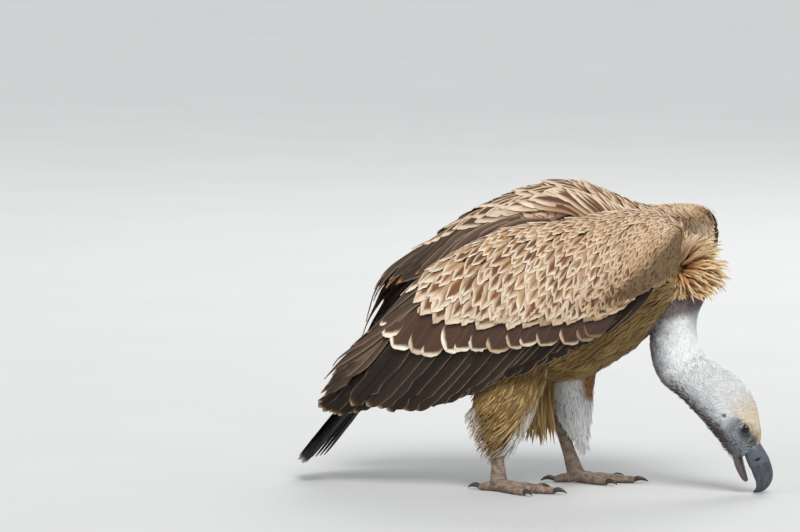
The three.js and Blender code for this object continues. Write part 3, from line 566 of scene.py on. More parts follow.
def melt(piece, voxel, passes):
    """Melts tubes that run into one another into one even skin, eased by some passes of smoothing."""
    remesh = piece.modifiers.new("melt", "REMESH")
    remesh.mode, remesh.voxel_size, remesh.use_smooth_shade = "VOXEL", voxel, True
    ease = piece.modifiers.new("ease", "SMOOTH")
    ease.factor, ease.iterations = 0.5, passes
    settle(piece)


SKIN_VOXEL = 0.0038  # metres
skin = shown("skin", mesh_of("skin", *tubes([rings for _, rings, _ in flesh])))
melt(skin, SKIN_VOXEL, 6)
print("skin:", len(skin.data.polygons), "faces")

# %% [markdown]
# The face is where the eye goes first. Its surface is divided twice, then pushed in and out by short
# rules: a socket round the eye, a brow over it, a hollow before it, an ear, folds on the cheek, and lips
# along the mouth. The mouth itself is a thin wedge taken out by a Boolean, as the bill is ajar.

# %% Form of the face
def hump(distance, width):
    return np.exp(-(distance / width) ** 2)


def face_depth(points):
    """How far the skin moves outwards, in millimetres, at points of the head in millimetres."""
    x, y, z = points.T
    from_eye = np.hypot(x - EYE[0], z - EYE[2])
    socket = -2.2 * hump(from_eye - 13.5, 3.2) - 1.0 * hump(from_eye, 12)
    crownward = (x - 338) * 0.45 + (z - 102) * 0.89
    along_brow = (x - 345) * 0.89 - (z - 108) * 0.45
    brow = 2.6 * hump(crownward - 13, 3.6) * np.exp(-along_brow ** 2 / 200)
    lores = -2.2 * np.exp(-(((x - 346) ** 2 + (z - 84) ** 2) / 70))
    cheek = 1.6 * np.exp(-(((x - 318) ** 2 + (z - 92) ** 2) / 190))
    from_ear = np.hypot(x - EAR[0], z - EAR[2])
    ear = -5.0 * hump(from_ear, 3.0) + 1.0 * hump(from_ear - 6.0, 1.6)
    run = np.array([343.0, 44.0]) - GAPE  # the line of the mouth
    share = np.clip(((x - GAPE[0]) * run[0] + (z - GAPE[1]) * run[1]) / (run @ run), -0.12, 1)
    from_mouth = np.hypot(x - GAPE[0] - share * run[0], z - GAPE[1] - share * run[1])
    lips = 1.5 * hump(from_mouth - 3.2, 1.6)
    folds = 0.5 * np.sin(from_eye * 1.25 + 0.6 * np.sin(z * 0.3)) * hump(from_eye - 24, 9)
    behind = smooth(-(x - 352) * 0.45 - (z - 90) * 0.4, -12, 8)
    on_side = smooth(np.abs(y), 8, 17)
    return (socket + brow + lores + cheek + ear + lips + folds * behind) * on_side


# %% Face and mouth
JOIN, JOIN_REACH = Vector((0.232, 0, 0.185)), 0.055  # where the neck runs into the head, in metres
JOIN_PASSES = 14
FINE_BACK, FINE_TOP = 0.286, 0.165  # the head before and below these, in metres, is divided finely
FACE_BACK, FACE_TOP = 0.28, 0.175  # and before and below these it takes the face
form = bmesh.new()
form.from_mesh(skin.data)
for _ in range(JOIN_PASSES):
    around_join = [v for v in form.verts if (v.co - JOIN).length < JOIN_REACH]
    bmesh.ops.smooth_vert(form, verts=around_join, factor=0.5, use_axis_x=True, use_axis_y=True,
                          use_axis_z=True)
for _ in range(2):
    near = [e for e in form.edges if all(v.co.x > FINE_BACK and v.co.z < FINE_TOP for v in e.verts)]
    bmesh.ops.subdivide_edges(form, edges=near, cuts=1, use_grid_fill=True, smooth=0.4)
form.normal_update()
head_verts = [v for v in form.verts if v.co.x > FACE_BACK and v.co.z < FACE_TOP]
spots = np.array([v.co for v in head_verts]) / MM
for vert, push in zip(head_verts, face_depth(spots)):
    vert.co += vert.normal * float(push) * MM
form.to_mesh(skin.data)
form.free()

wedge = mesh_of("mouth", [(x, y, z) for y in (-60, 60) for x, z in (GAPE, MOUTH_UPPER, MOUTH_LOWER)],
                [(0, 1, 2, 2), (3, 5, 4, 4), (0, 3, 4, 1), (1, 4, 5, 2), (2, 5, 3, 0)])
cutter = shown("mouth", wedge)
cut = skin.modifiers.new("mouth", "BOOLEAN")
cut.operation = "DIFFERENCE"
cut.solver = "MANIFOLD"
cut.object = cutter
settle(skin)
bpy.data.objects.remove(cutter)
skin.data.shade_smooth()
print("skin with face and mouth:", len(skin.data.polygons), "faces")

# %% [markdown]
# The coat is baked on an unwrap of the skin: each tuft takes its colour from the spot where it grows.
# Smart projection is enough, as nothing is painted by hand.

# %% Unwrap
for other in bpy.context.selected_objects:
    other.select_set(False)
skin.select_set(True)
bpy.context.view_layer.objects.active = skin
while skin.data.uv_layers:
    skin.data.uv_layers.remove(skin.data.uv_layers[0])
skin.data.uv_layers.new(name="OFBake")
bpy.ops.object.mode_set(mode="EDIT")
bpy.ops.mesh.select_all(action="SELECT")
bpy.ops.uv.smart_project(angle_limit=math.radians(66), island_margin=0.002)
bpy.ops.object.mode_set(mode="OBJECT")
print("unwrap of", len(skin.data.loops), "corners")

# %% Facts about every spot of the skin
def array_of(data, field, width, kind=np.float64):
    values = np.empty(len(data) * width, kind)
    data.foreach_get(field, values)
    return values.reshape(-1, width) if width > 1 else values


skin.data.calc_loop_triangles()
spots = array_of(skin.data.vertices, "co", 3) / MM
normals = array_of(skin.data.vertices, "normal", 3)
corners = array_of(skin.data.loop_triangles, "vertices", 3, np.int32)
loops = array_of(skin.data.loop_triangles, "loops", 3, np.int32)
unwrap = array_of(skin.data.uv_layers["OFBake"].data, "uv", 2)
source_points = np.concatenate([rings.reshape(-1, 3) for _, rings, _ in flesh])
source_lies = np.concatenate([lie.reshape(-1, 3) for _, _, lie in flesh])
source_parts = np.concatenate([np.full(r.shape[0] * r.shape[1], k) for k, (_, r, _) in enumerate(flesh)])


def by_cell(points, cell):
    """The indices of points, sorted into cubes of some millimetres."""
    cells = {}
    for index, key in enumerate(map(tuple, np.floor(points / cell).astype(int))):
        cells.setdefault(key, []).append(index)
    return cells


def neighbours(cells, key):
    """What the cubes at a key and round it hold."""
    a, b, c = key
    return [index for i in (a - 1, a, a + 1) for j in (b - 1, b, b + 1) for k in (c - 1, c, c + 1)
            for index in cells.get((i, j, k), ())]


def nearest(sources, targets, cell=12.0):
    """The index of the source nearest each target, searched cube by cube."""
    found, source_cells = np.zeros(len(targets), int), by_cell(sources, cell)
    for key, members in by_cell(targets, cell).items():
        near = neighbours(source_cells, key)
        if not near:
            continue
        gaps = np.linalg.norm(targets[members][:, None] - sources[near][None], axis=-1)
        found[members] = np.array(near)[gaps.argmin(1)]
    return found


closest = nearest(source_points, spots)
skin_part = source_parts[closest]
skin_lie = source_lies[closest]
ends = array_of(skin.data.edges, "vertices", 2, np.int32)
FLOW_PASSES = 30  # the coat flows on smoothly from one part to the next
for _ in range(FLOW_PASSES):
    drawn = skin_lie[ends[:, ::-1].ravel()]
    pull = [np.bincount(ends.ravel(), drawn[:, axis], len(spots)) for axis in range(3)]
    skin_lie = unit(skin_lie + np.stack(pull, -1))
skin_tree = BVHTree.FromPolygons([tuple(v) for v in spots], corners.tolist())
print("skin spots:", len(spots), {part: int((skin_part == k).sum()) for k, part in enumerate(PARTS)})

# %% [markdown]
# ## Markings
#
# One function gives the colour at any spot of the body, and both the skin and every tuft that grows on
# it ask it, so they carry the same markings. It mixes a handful of named colours by simple rules of
# place, with a little seeded noise to break the borders.

# %% Colours by place
WHITE_DOWN, GREY_DOWN, MAUVE = hue(236, 237, 236), hue(146, 140, 138), hue(136, 122, 122)
# a bluish grey that paints shade on the throat side of the wool, and a pale sand that paints light on the
# left shoulder's inner face
SHADED_DOWN, LIT_SAND = hue(186, 190, 194), hue(236, 212, 184)
CREAM, ORANGE_BUFF = hue(226, 210, 186), hue(210, 174, 132)
# a dark brown for painted shade in the hollows of the face
FACE_GREY, SHADE_BROWN = hue(116, 121, 130), hue(62, 50, 44)
OLIVE, STRAW, UMBER, JAW = hue(126, 101, 56), hue(176, 146, 94), hue(98, 72, 40), hue(100, 88, 82)
SAND, SAND_DARK, RUST = hue(206, 172, 142), hue(126, 98, 74), hue(150, 104, 62)
BUFF_BROWN, PALE_DOWN, PALE_BUFF = hue(122, 94, 52), hue(214, 208, 198), hue(184, 156, 106)


# %% Rules of place
def cloud(points, size, seed=0.0):
    """Smooth seeded noise from 0 to 1 at points in millimetres."""
    return np.array([0.5 + 0.5 * noise.noise(Vector((x, y, z)) / size + Vector((seed, seed, seed)))
                     for x, y, z in points])


def blend(base, *layers):
    """Colours with layers of (share, colour) laid over them in turn; base may be one named colour."""
    if isinstance(base, tuple):
        base = np.tile(base[:3], (len(layers[0][0]), 1))
    for share, colour in layers:
        base = base + (np.array(colour[:3]) - base) * share[:, None]
    return base


def head_axes(points):
    """How far points lie towards the bill and towards the crown, in millimetres."""
    x, _, z = points.T
    return (x - 300) * 0.45 - (z - 130) * 0.9, (x - 325) * 0.86 + (z - 105) * 0.5


def on_neck(points, s):
    """The nearest of some places along the neck to each point, and how far the point lies napeward of it."""
    middle, _, up, _, _, _ = neck_frame(s)
    gap = np.linalg.norm(points[:, None, [0, 2]] - middle[None][:, :, [0, 2]], axis=-1)
    at = gap.argmin(1)
    return s[at], np.einsum("ij,ij->i", points - middle[at], up[at])


def bare_face(points):
    """1 on the naked skin round the eye and before it, 0 where the down is full."""
    x, y, z = points.T
    from_eye = np.hypot(x - EYE[0] + 10, (z - EYE[2] + 8) * 0.75)
    forward, crownward = head_axes(points)
    eye = (1 - smooth(from_eye, 11, 29)) * (1 - smooth(crownward, 9, 17))
    front = smooth(forward, 24, 48) * (1 - smooth(crownward, 8, 20))
    return np.maximum(eye, front) * smooth(np.abs(y), 6, 15)


# %% Markings
def markings(points, part):
    """Colour of coat and skin at points in millimetres; part is an index into PARTS."""
    x, y, z = points.T
    patch, fine = cloud(points, 26, 3.0), cloud(points, 7, 9.0)
    name = np.array(PARTS)[part]

    # trunk: golden olive below, sandy brown on the back, paler where the neck leaves it
    above = smooth(z - read(TORSO, x)[:, 0], 10, 50)
    breast = 0.5 * (1 - above) * smooth(x - 0.4 * z, 70, 110) * smooth(fine, 0.2, 0.7)
    trunk = blend(OLIVE, (0.6 * smooth(patch, 0.45, 0.75), STRAW), (0.5 * smooth(fine, 0.5, 0.8), UMBER),
                  (above, SAND), (above * smooth(fine, 0.4, 0.65), SAND_DARK), (breast, PALE_BUFF))

    # neck: white wool at the nape, painted shade on the throat side, grey along the throat, mauve under the
    # ruff
    s, napeward = on_neck(points, np.linspace(0, 300, 151))
    napeward = napeward / 36
    neck_shade = 0.9 * smooth(-napeward + 0.7 * (fine - 0.5) + 0.3 * (patch - 0.5), -0.25, 0.6)
    throat_grey = smooth(-napeward + 0.6 * (fine - 0.5), 0.3, 1.0)
    under_ruff = 0.95 * (1 - smooth(s + 16 * (patch - 0.5) + 26 * napeward, 128, 146))
    neck = blend(WHITE_DOWN, (neck_shade, SHADED_DOWN), (throat_grey, GREY_DOWN), (under_ruff, MAUVE),
                 (1 - smooth(s, 88, 102), BUFF_BROWN))

    # head: white nape, cream crown turning orange buff, blue-grey bare skin round the eye
    forward, crownward = head_axes(points)
    on_head = smooth(x, 272, 312)
    # painted shade under the cheeks, as on the throat side of the neck
    cheek_shade = 0.8 * on_head * smooth(-crownward + 14 * (fine - 0.5), 0, 26)
    cheek_grey = 0.9 * on_head * smooth(-crownward + 8 * (fine - 0.5), 16, 38)
    from_eye = np.hypot(x - EYE[0], z - EYE[2])
    # painted shade, dark brown, in the eye's socket and in the hollow before the eye
    socket = 0.6 * np.exp(-(from_eye / 10.5) ** 4) * smooth(np.abs(y), 8, 16)
    lores = np.exp(-(((x - 351) ** 2 + (z - 83) ** 2) / 150)) * smooth(np.abs(y), 5, 12)
    jaw = smooth(forward - 0.6 * (crownward + 20) + 14 * (fine - 0.5), 8, 44)
    jaw = jaw * (1 - smooth(crownward, -24, -6))
    # painted shade in the ear opening
    ear = hump(np.hypot(x - EAR[0], z - EAR[2]), 3) * smooth(np.abs(y), 20, 26)
    head = blend(WHITE_DOWN, (neck_shade * (1 - on_head) + cheek_shade, SHADED_DOWN),
                 (throat_grey * (1 - on_head) + cheek_grey, GREY_DOWN),
                 (smooth(forward, -25, 38) * smooth(crownward, 0, 18), CREAM),
                 (0.85 * smooth(forward, 44, 68) * smooth(crownward, 12, 24), ORANGE_BUFF),
                 (bare_face(points) * (0.75 + 0.25 * fine), FACE_GREY), (socket, SHADE_BROWN),
                 (0.95 * lores, SHADE_BROWN), (0.75 * jaw, JAW), (0.7 * ear, SHADE_BROWN))

    # thighs: the right one tan with pale streaks, the left one white-grey with a rusty front
    right = blend(BUFF_BROWN, (0.8 * smooth(fine, 0.45, 0.7), PALE_BUFF),
                  (0.5 * smooth(patch, 0.55, 0.8), SAND_DARK),
                  (smooth(-x - 0.4 * (z - 120), 44, 66), PALE_DOWN),
                  (smooth(x - 0.55 * (z - 100), -10, 0) * smooth(-z, -170, -150), WHITE_DOWN))
    left = blend(WHITE_DOWN, (0.5 * smooth(fine, 0.5, 0.8), PALE_DOWN),
                 (0.4 * smooth(-x + 0.3 * (z - 120), -40, -10), PALE_BUFF),
                 (smooth(x, 62, 76) * smooth(z + 20 * (patch - 0.5), 138, 150), RUST))

    # arms under the coverts; the looser left shoulder's inner face is painted pale, as painted light in the
    # hollow between the shoulders
    arm = blend(SAND, (0.3 * smooth(fine, 0.5, 0.75), SAND_DARK),
                (0.9 * smooth(x, 150, 205) * (y > 0), LIT_SAND))
    vent = np.tile(np.array(UMBER[:3]) * 0.6, (len(points), 1))
    of_name = {"neck": neck, "head": head, "thigh_right": right, "thigh_left": left, "arm_right": arm,
               "arm_left": arm, "tail": vent}
    for key, colours in of_name.items():
        trunk = np.where((name == key)[:, None], colours, trunk)
    return trunk


def add_colour(mesh, name, colours):
    layer = mesh.attributes.new(name, "FLOAT_COLOR", "POINT")
    layer.data.foreach_set("color", np.c_[colours, np.ones(len(colours))].astype(np.float32).ravel())


def add_number(mesh, name, values):
    mesh.attributes.new(name, "FLOAT", "POINT").data.foreach_set("value", np.asarray(values, np.float32))


add_colour(skin.data, "coat", markings(spots, skin_part))
add_number(skin.data, "bare", bare_face(spots) * (skin_part == PARTS.index("head")))
print("markings on", len(spots), "spots")

# %% Skin finish
skin_finish = Finish("skin", 0.62)
place = skin_finish.place()
x, _, z = skin_finish.axes(place)
pores = skin_finish.speckle(place, 900.0, 3.0)
sway = skin_finish.speckle(place, 150.0, 3.0)
ring = ((x - EYE[0] * MM) ** 2.0 + (z - EYE[2] * MM) ** 2.0) ** 0.5
bare = skin_finish.tell("bare")
# the folds round the eye: painted shade in their grooves and a painted highlight on their crests
wave = (ring * 1500 + sway * 40).math("SINE")
fold_shade, ridge = wave.step(-0.2, 0.95) * bare, wave.step(-0.1, -0.95) * bare
tone = skin_finish.mix(pores * 0.45 * (bare + 0.15), skin_finish.tell("coat", "Color"), hue(70, 58, 54),
                       "MULTIPLY")
tone = skin_finish.coats(tone, (fold_shade * 0.5, hue(58, 58, 66)),
                         (ridge * (1 - pores) * 0.6, hue(176, 184, 194)))
relief = pores * 0.3 - fold_shade * 0.7
dress(skin, skin_finish.paint(tone, 0.5 + pores * 0.3, relief, 0.0009, 0.7))

# %% [markdown]
# ## Growing a coat
#
# Each covering repeats one small mesh thousands of times: a wisp of wool, a lance of the ruff, a
# scale-like covert. Placing copies in Python loops would be slow, so a Geometry Nodes tree does it: every
# point carries the direction that its feather lies in, the way out of the skin, a size and its colours,
# and the tree sets one copy there, turns it a little at random, realizes it and gives it its finish.

# %% The coat tree
def coat_tree():
    tree = bpy.data.node_groups.new("coat", "GeometryNodeTree")
    face = tree.interface
    for name, kind in [("Points", "Geometry"), ("Feathers", "Collection"), ("Turn", "Float"), ("Seed", "Int"),
                       ("Finish", "Material")]:
        face.new_socket(name, in_out="INPUT", socket_type="NodeSocket" + kind)
    face.new_socket("Coat", in_out="OUTPUT", socket_type="NodeSocketGeometry")

    def node(kind, values=None, **settings):
        made = tree.nodes.new(kind)
        for key, value in settings.items():
            setattr(made, key, value)
        for key, value in (values or {}).items():
            if isinstance(value, bpy.types.NodeSocket):
                tree.links.new(value, made.inputs[key])
            else:
                made.inputs[key].default_value = value
        return made

    def told(name, kind="FLOAT_VECTOR"):
        return node("GeometryNodeInputNamedAttribute", {"Name": name}, data_type=kind).outputs["Attribute"]

    given = node("NodeGroupInput").outputs
    lay = node("FunctionNodeAxesToRotation", {"Primary Axis": told("lie"), "Secondary Axis": told("up")},
               primary_axis="X", secondary_axis="Z")
    low = node("ShaderNodeMath", {0: given["Turn"], 1: -1.0}, operation="MULTIPLY")
    draw = node("FunctionNodeRandomValue",
                {"Min": low.outputs[0], "Max": given["Turn"], "Seed": given["Seed"]}, data_type="FLOAT")
    angle = node("FunctionNodeAxisAngleToRotation", {"Axis": (0, 0, 1), "Angle": draw.outputs["Value"]})
    turned = node("FunctionNodeRotateRotation", {0: lay.outputs[0], 1: angle.outputs[0]},
                  rotation_space="LOCAL")
    kinds = node("GeometryNodeCollectionInfo", {"Collection": given["Feathers"], "Separate Children": True,
                                                "Reset Children": True})
    copies = node("GeometryNodeInstanceOnPoints", {
        "Points": given["Points"], "Instance": kinds.outputs[0], "Pick Instance": True,
        "Instance Index": told("kind", "INT"), "Rotation": turned.outputs[0], "Scale": told("size")})
    real = node("GeometryNodeRealizeInstances", {0: copies.outputs[0]})
    moved = node("ShaderNodeVectorMath", {0: told("OFBake"), 1: told("root")}, operation="ADD")
    stored = node("GeometryNodeStoreNamedAttribute", {0: real.outputs[0], "Name": "OFBake"},
                  data_type="FLOAT2", domain="CORNER")
    tree.links.new(moved.outputs[0], next(s for s in stored.inputs if s.name == "Value" and s.enabled))
    painted = node("GeometryNodeSetMaterial", {0: stored.outputs[0], "Material": given["Finish"]})
    node("NodeGroupOutput", {0: painted.outputs[0]})
    return tree


COAT_TREE = coat_tree()
SOCKETS = {item.name: item.identifier for item in COAT_TREE.interface.items_tree if item.in_out == "INPUT"}
print("sockets of the coat tree:", SOCKETS)


# %% Blades
def feather_mesh(name, rows, keel, patch, sway=0.0, ragged=0.0, seed=0, sides=4):
    """A closed blade one unit long on +X: rows of (along, half width, height), ending in a point.
    keel is how far its middle line stands over its edges, patch its width on the bake map, sway how far
    its tip bends sideways, ragged the deepest notch in its edges, and sides 4 or, for a wisp, 3."""
    rng = default_rng(seed)
    body, tip = rows[:-1], rows[-1]
    verts, uvs, rims = [], [], (0, 2) if sides == 4 else ()
    for t, half, z in body:
        left, right = half * (1 - ragged * rng.random(2) * (t > 0.45))
        for across, rise, u in ((-left, 0, 0), (0, keel, 0.5), (right, 0, 1), (0, keel * 0.35, 0.5))[:sides]:
            verts.append((t, across + sway * t * t, z + rise))
            uvs.append((u, t))
    verts.append((tip[0], sway, tip[2]))
    uvs.append((0.5, 1.0))
    faces, last = [], len(verts) - 1
    for j in range(0, sides * (len(body) - 1), sides):
        for i in range(sides):
            k = (i + 1) % sides
            faces.append((j + i, j + sides + i, j + sides + k, j + k))
    j = sides * (len(body) - 1)
    faces += [(j + i, last, j + (i + 1) % sides) for i in range(sides)]
    faces.append(tuple(range(sides)))
    mesh = bpy.data.meshes.new(name)
    mesh.from_pydata(verts, [], faces)
    form = bmesh.new()
    form.from_mesh(mesh)
    bmesh.ops.recalc_face_normals(form, faces=form.faces)
    for edge in form.edges:  # the rims are crisp, so that the upper face takes the light evenly
        a, b = sorted(v.index for v in edge.verts)
        edge.smooth = not (a % sides in rims and (b == last or (b - a) == sides))
    form.to_mesh(mesh)
    form.free()
    mesh.shade_smooth()
    pattern, bake = mesh.uv_layers.new(name="Feather"), mesh.uv_layers.new(name="OFBake")
    for loop in mesh.loops:
        u, v = uvs[loop.vertex_index]
        pattern.data[loop.index].uv = (u, v)
        bake.data[loop.index].uv = (u * patch, v * patch)
    return mesh


def blades(name, rows, keel, patch, kinds, sway, ragged, sides=4):
    """Several blades of one form, which bend and fray differently."""
    bends = np.linspace(-sway, sway, kinds)
    return [feather_mesh(f"{name}_{k}", rows, keel, patch, bend, ragged, k, sides)
            for k, bend in enumerate(bends)]


# %% Pieces of coat
def triangles(piece):
    return sum(len(face.vertices) - 2 for face in piece.data.polygons)


def grow(name, templates, points, lie, up, size, root, finish, numbers, colours=None, turn=0.12, seed=1):
    """A coat piece: one copy of a template at each point in millimetres."""
    mesh = bpy.data.meshes.new(name)
    mesh.from_pydata((np.asarray(points) * MM).tolist(), [], [])
    for key, value in (("lie", lie), ("up", up), ("size", np.asarray(size) * MM),
                       ("root", np.c_[root, np.zeros(len(root))])):
        mesh.attributes.new(key, "FLOAT_VECTOR", "POINT").data.foreach_set(
            "vector", np.asarray(value, np.float32).ravel())
    for key, value in numbers.items():
        add_number(mesh, key, value)
    if colours is not None:
        add_colour(mesh, "coat", colours)
    kinds = default_rng(seed).integers(0, len(templates), len(points)).astype(np.int32)
    mesh.attributes.new("kind", "INT", "POINT").data.foreach_set("value", kinds)
    patterns = bpy.data.collections.new(name + "_patterns")
    for template in templates:
        patterns.objects.link(bpy.data.objects.new(template.name, template))
    piece = shown(name, mesh)
    tree = piece.modifiers.new("coat", "NODES")
    tree.node_group = COAT_TREE
    for key, value in (("Feathers", patterns), ("Turn", turn), ("Seed", seed), ("Finish", finish)):
        tree[SOCKETS[key]] = value
    settle(piece)
    for pattern in list(patterns.objects):
        bpy.data.objects.remove(pattern)
    bpy.data.collections.remove(patterns)
    for key in ("lie", "up", "size", "root", "kind"):
        if key in piece.data.attributes:  # not all of them outlive the tree
            piece.data.attributes.remove(piece.data.attributes[key])
    print(f"{name}: {len(points)} feathers, {triangles(piece)} triangles")
    return piece


# %% Places and directions on the skin
SPACING_CUBE = 14.0  # millimetres, wider than any spacing


def scatter(count, density, seed, spacing=None):
    """Random places on the skin: points, normals, lies, unwrap places, part indices. density(points, part,
    normals) weighs each triangle, and spacing thins what lies closer than that in millimetres."""
    rng = default_rng(seed)
    a, b, c = (spots[corners[:, k]] for k in range(3))
    area = np.linalg.norm(np.cross(b - a, c - a), axis=-1) / 2
    weight = area * density((a + b + c) / 3, skin_part[corners[:, 0]], normals[corners[:, 0]])
    chosen = rng.choice(len(corners), count, p=weight / weight.sum())
    share = rng.dirichlet((1, 1, 1), count)
    mixed = lambda values, index: np.einsum("ij,ijk->ik", share, values[index[chosen]])
    points, normal = mixed(spots, corners), unit(mixed(normals, corners))
    lie, root, part = mixed(skin_lie, corners), mixed(unwrap, loops), skin_part[corners[chosen, 0]]
    if spacing is not None:
        keep, cells = [], {}
        for i, point in enumerate(points):
            key = tuple((point // SPACING_CUBE).astype(int))
            near = neighbours(cells, key)
            if near and np.min(np.linalg.norm(points[near] - point, axis=-1)) < spacing:
                continue
            keep.append(i)
            cells.setdefault(key, []).append(i)
        points, normal, lie, root, part = (v[keep] for v in (points, normal, lie, root, part))
    facing = np.sum(unit(lie) * normal, -1, keepdims=True)
    lie = unit(unit(lie) - normal * facing * (1 - smooth(facing, 0.5, 0.9)))
    return points, normal, lie, root, part


def square_to(lie, way):
    """The direction nearest to a way that is square to the lie."""
    return unit(way - lie * np.sum(way * lie, -1, keepdims=True))


def raised(lie, normal, angle):
    """The lie and the way up of feathers that stand off the skin by angles in radians."""
    lie = lie * np.cos(angle)[:, None] + normal * np.sin(angle)[:, None]
    return lie, square_to(lie, normal)


def swirl(points, size, seed, normal=None):
    """A smooth random direction at each point, which gathers wisps into tufts; with a normal it runs
    along the skin."""
    drift = np.stack([cloud(points, size, seed + 5 * k) * 2 - 1 for k in range(3)], -1)
    return drift if normal is None else drift - normal * np.sum(drift * normal, -1, keepdims=True)


print("skin to grow on:", len(corners), "triangles")

# %% [markdown]
# ## Wool of the neck and the short down of the head
#
# A vulture's neck wears dense white wool that turns grey at the throat, and its head a plush of much
# shorter down that lets the blue-grey skin of the face show. Both are thousands of thin curved wisps,
# laid from the head towards the trunk and shortest on the face.

# %% Wisps
def soft_finish(name, dark, light, streaks, shades, roughness=0.9, sheen=0.12):
    """A finish for wisps and soft feathers: the coat's own colour with painted shade at the root, where the
    next ones lie over it, and lighter at the tip.
    """
    finish = Finish(name, roughness, Sheen_Weight=sheen, Specular_IOR_Level=0.25)
    across, along = finish.feather()
    tint = finish.tell("tint")
    line = finish.speckle(finish.vector(across * 3, along * 1.5, tint * 40), 2.2, 3.0)
    # painted shade at the root of each wisp or feather, lighter towards its tip
    shade = along * (light - dark) + dark + (tint - 0.5) * shades + (line - 0.5) * streaks
    colour = finish.shaded(finish.tell("coat", "Color"), shade)
    return finish.paint(colour, height=line, depth=0.0006, strength=0.5)


WISP = [(0, 0.075, 0), (0.45, 0.085, 0.1), (1.0, 0, 0.02)]  # along, half width, height
WISP_WIDTH = 0.16  # of a wisp one unit long
PATCH = 0.003  # side of a wisp's patch on the bake map
wisps = blades("wisp", WISP, 0.05, PATCH, 5, 0.3, 0.0, 3)
down_finish = soft_finish("down", 0.96, 1.2, 0.1, 0.16)


def of_part(part, *names):
    return np.isin(part, [PARTS.index(name) for name in names])


def ruled(value, points):
    """Values at points from a rule of place, or from one number for all of them."""
    return value(points) if callable(value) else np.full(len(points), float(value))


def wool(name, count, density, seed, length, width, angle, clump, colour=None, turn=0.4):
    points, normal, lie, root, part = scatter(count, density, seed)
    rng = default_rng(seed + 1)
    tuft = cloud(points, clump, seed)
    long = ruled(length, points)
    steep = angle * (0.6 + 0.8 * tuft) * (1.8 - 0.1 * long)  # short down stands up more than long wool
    lie, up = raised(unit(lie + swirl(points, clump, seed, normal)), normal, steep)
    long = long * rng.uniform(0.7, 1.25, len(points))
    size = np.stack([long, width / WISP_WIDTH * rng.uniform(0.8, 1.2, len(points)), long], -1)
    colours = markings(points, part) if colour is None else np.tile(colour[:3], (len(points), 1))
    tint = np.clip(tuft * 0.9 + 0.35 * (rng.random(len(points)) - 0.5), 0, 1)
    return grow(name, wisps, points - normal * 0.1, lie, up, size, root, down_finish, {"tint": tint}, colours,
                turn, seed)


# %% Wool, down and bristles
def neck_skin(q, part, n):
    return of_part(part, "neck") * smooth(q[:, 0] - q[:, 2] * 0.2, 120, 150)


def head_skin(q, part, n):
    """Density over the head: full at the back, thin on the bare face, none at the root of the bill."""
    return of_part(part, "head") * (1.2 - 0.95 * bare_face(q)) * (1 - smooth(-q[:, 2], -66, -56))


def throat_skin(q, part, n):
    throat_side = smooth(-on_neck(q, np.linspace(60, 240, 91))[1], 2, 30)
    return of_part(part, "neck", "head") * throat_side * (1 - smooth(q[:, 0], 300, 330))


def wool_length(q):
    """Long on the neck, shorter over the head, a mere plush on the face."""
    forward, _ = head_axes(q)
    return 8.6 - 4.0 * smooth(forward, -90, -20) - 3.2 * smooth(forward, -20, 42)


WOOL_COUNT = 18900
neck_wool = [wool(f"neck_wool_{k}", WOOL_COUNT, neck_skin, 20 + k, wool_length, 1.5, 0.5, 9.0)
             for k in range(2)]
head_down = wool("head_down", WOOL_COUNT, head_skin, 30, wool_length, 1.15, 0.34, 9.0)
bristles = wool("throat_bristles", 2600, throat_skin, 34, 8.5, 0.9, 0.62, 8.0, hue(84, 74, 70))

# %% [markdown]
# ## Body feathers
#
# The belly and flank wear soft narrow feathers that lie along the body and read as streaks. The thighs
# wear trousers, the longest soft feathers of the bird, which hang over the bare shank. A blade with a
# rounded, slightly hollow form serves both; only its size and how far it stands off differ.

# %% Soft feathers
SOFT_BLADE = [(0, 0.10, 0), (0.3, 0.17, 0.05), (0.6, 0.16, 0.06), (0.85, 0.09, 0.04), (1.0, 0, 0.0)]
SOFT_WIDTH = 0.34  # of a blade one unit long
soft_blades = blades("soft_blade", SOFT_BLADE, 0.03, PATCH, 3, 0.12, 0.35)
body_finish = soft_finish("body feathers", 0.78, 1.15, 0.4, 0.3)
trouser_finish = soft_finish("trouser feathers", 0.76, 1.2, 0.4, 0.3)


def soft_feathers(name, count, density, seed, spacing, length, broad, angle, finish=body_finish, clump=14.0):
    """A piece of soft feathers; spacing, length and breadth are in millimetres, the angle in radians."""
    points, normal, lie, root, part = scatter(count, density, seed, spacing)
    rng = default_rng(seed + 1)
    tint = np.clip(0.7 * cloud(points, clump, seed) + 0.5 * rng.random(len(points)) - 0.1, 0, 1)
    lie = unit(lie + 0.5 * swirl(points, clump, seed, normal))
    lie, up = raised(lie, normal, angle * rng.uniform(0.4, 1.6, len(points)))
    long = ruled(length, points) * rng.uniform(0.8, 1.2, len(points))
    size = np.stack([long, np.full(len(points), broad / SOFT_WIDTH), long], -1)
    return grow(name, soft_blades, points, lie, up, size, root, finish, {"tint": tint},
                markings(points, part), 0.2, seed)


# %% Belly, back, arms and trousers
def trunk(low, high, below):
    """Density on the lower or the upper half of the trunk between two values of X."""
    def density(q, part, n):
        above = smooth(q[:, 2] - read(TORSO, q[:, 0])[:, 0], -20, 30)
        inside = (q[:, 0] >= low) & (q[:, 0] < high)
        return of_part(part, "torso", "tail") * inside * (1 - above if below else above)
    return density


def arm_skin(shoulder):
    """Density on the arms where no large feather lies: their inner faces, and the front of the wrist."""
    def density(q, part, n):
        inward = of_part(part, "arm_left") * -n[:, 1] + of_part(part, "arm_right") * n[:, 1]
        front = np.maximum(smooth(q[:, 0], 205, 235), 0.05)
        bare = of_part(part, "arm_left", "arm_right") * np.maximum(smooth(inward, -0.4, 0.1), front)
        return bare * ((q[:, 0] > 120) if shoulder else (q[:, 0] <= 120))
    return density


def thigh_skin(side):
    return lambda q, part, n: of_part(part, "thigh_" + side) * 1.0


def longer_downwards(least, more, low, high):
    return lambda q: least + more * smooth(-q[:, 2], low, high)


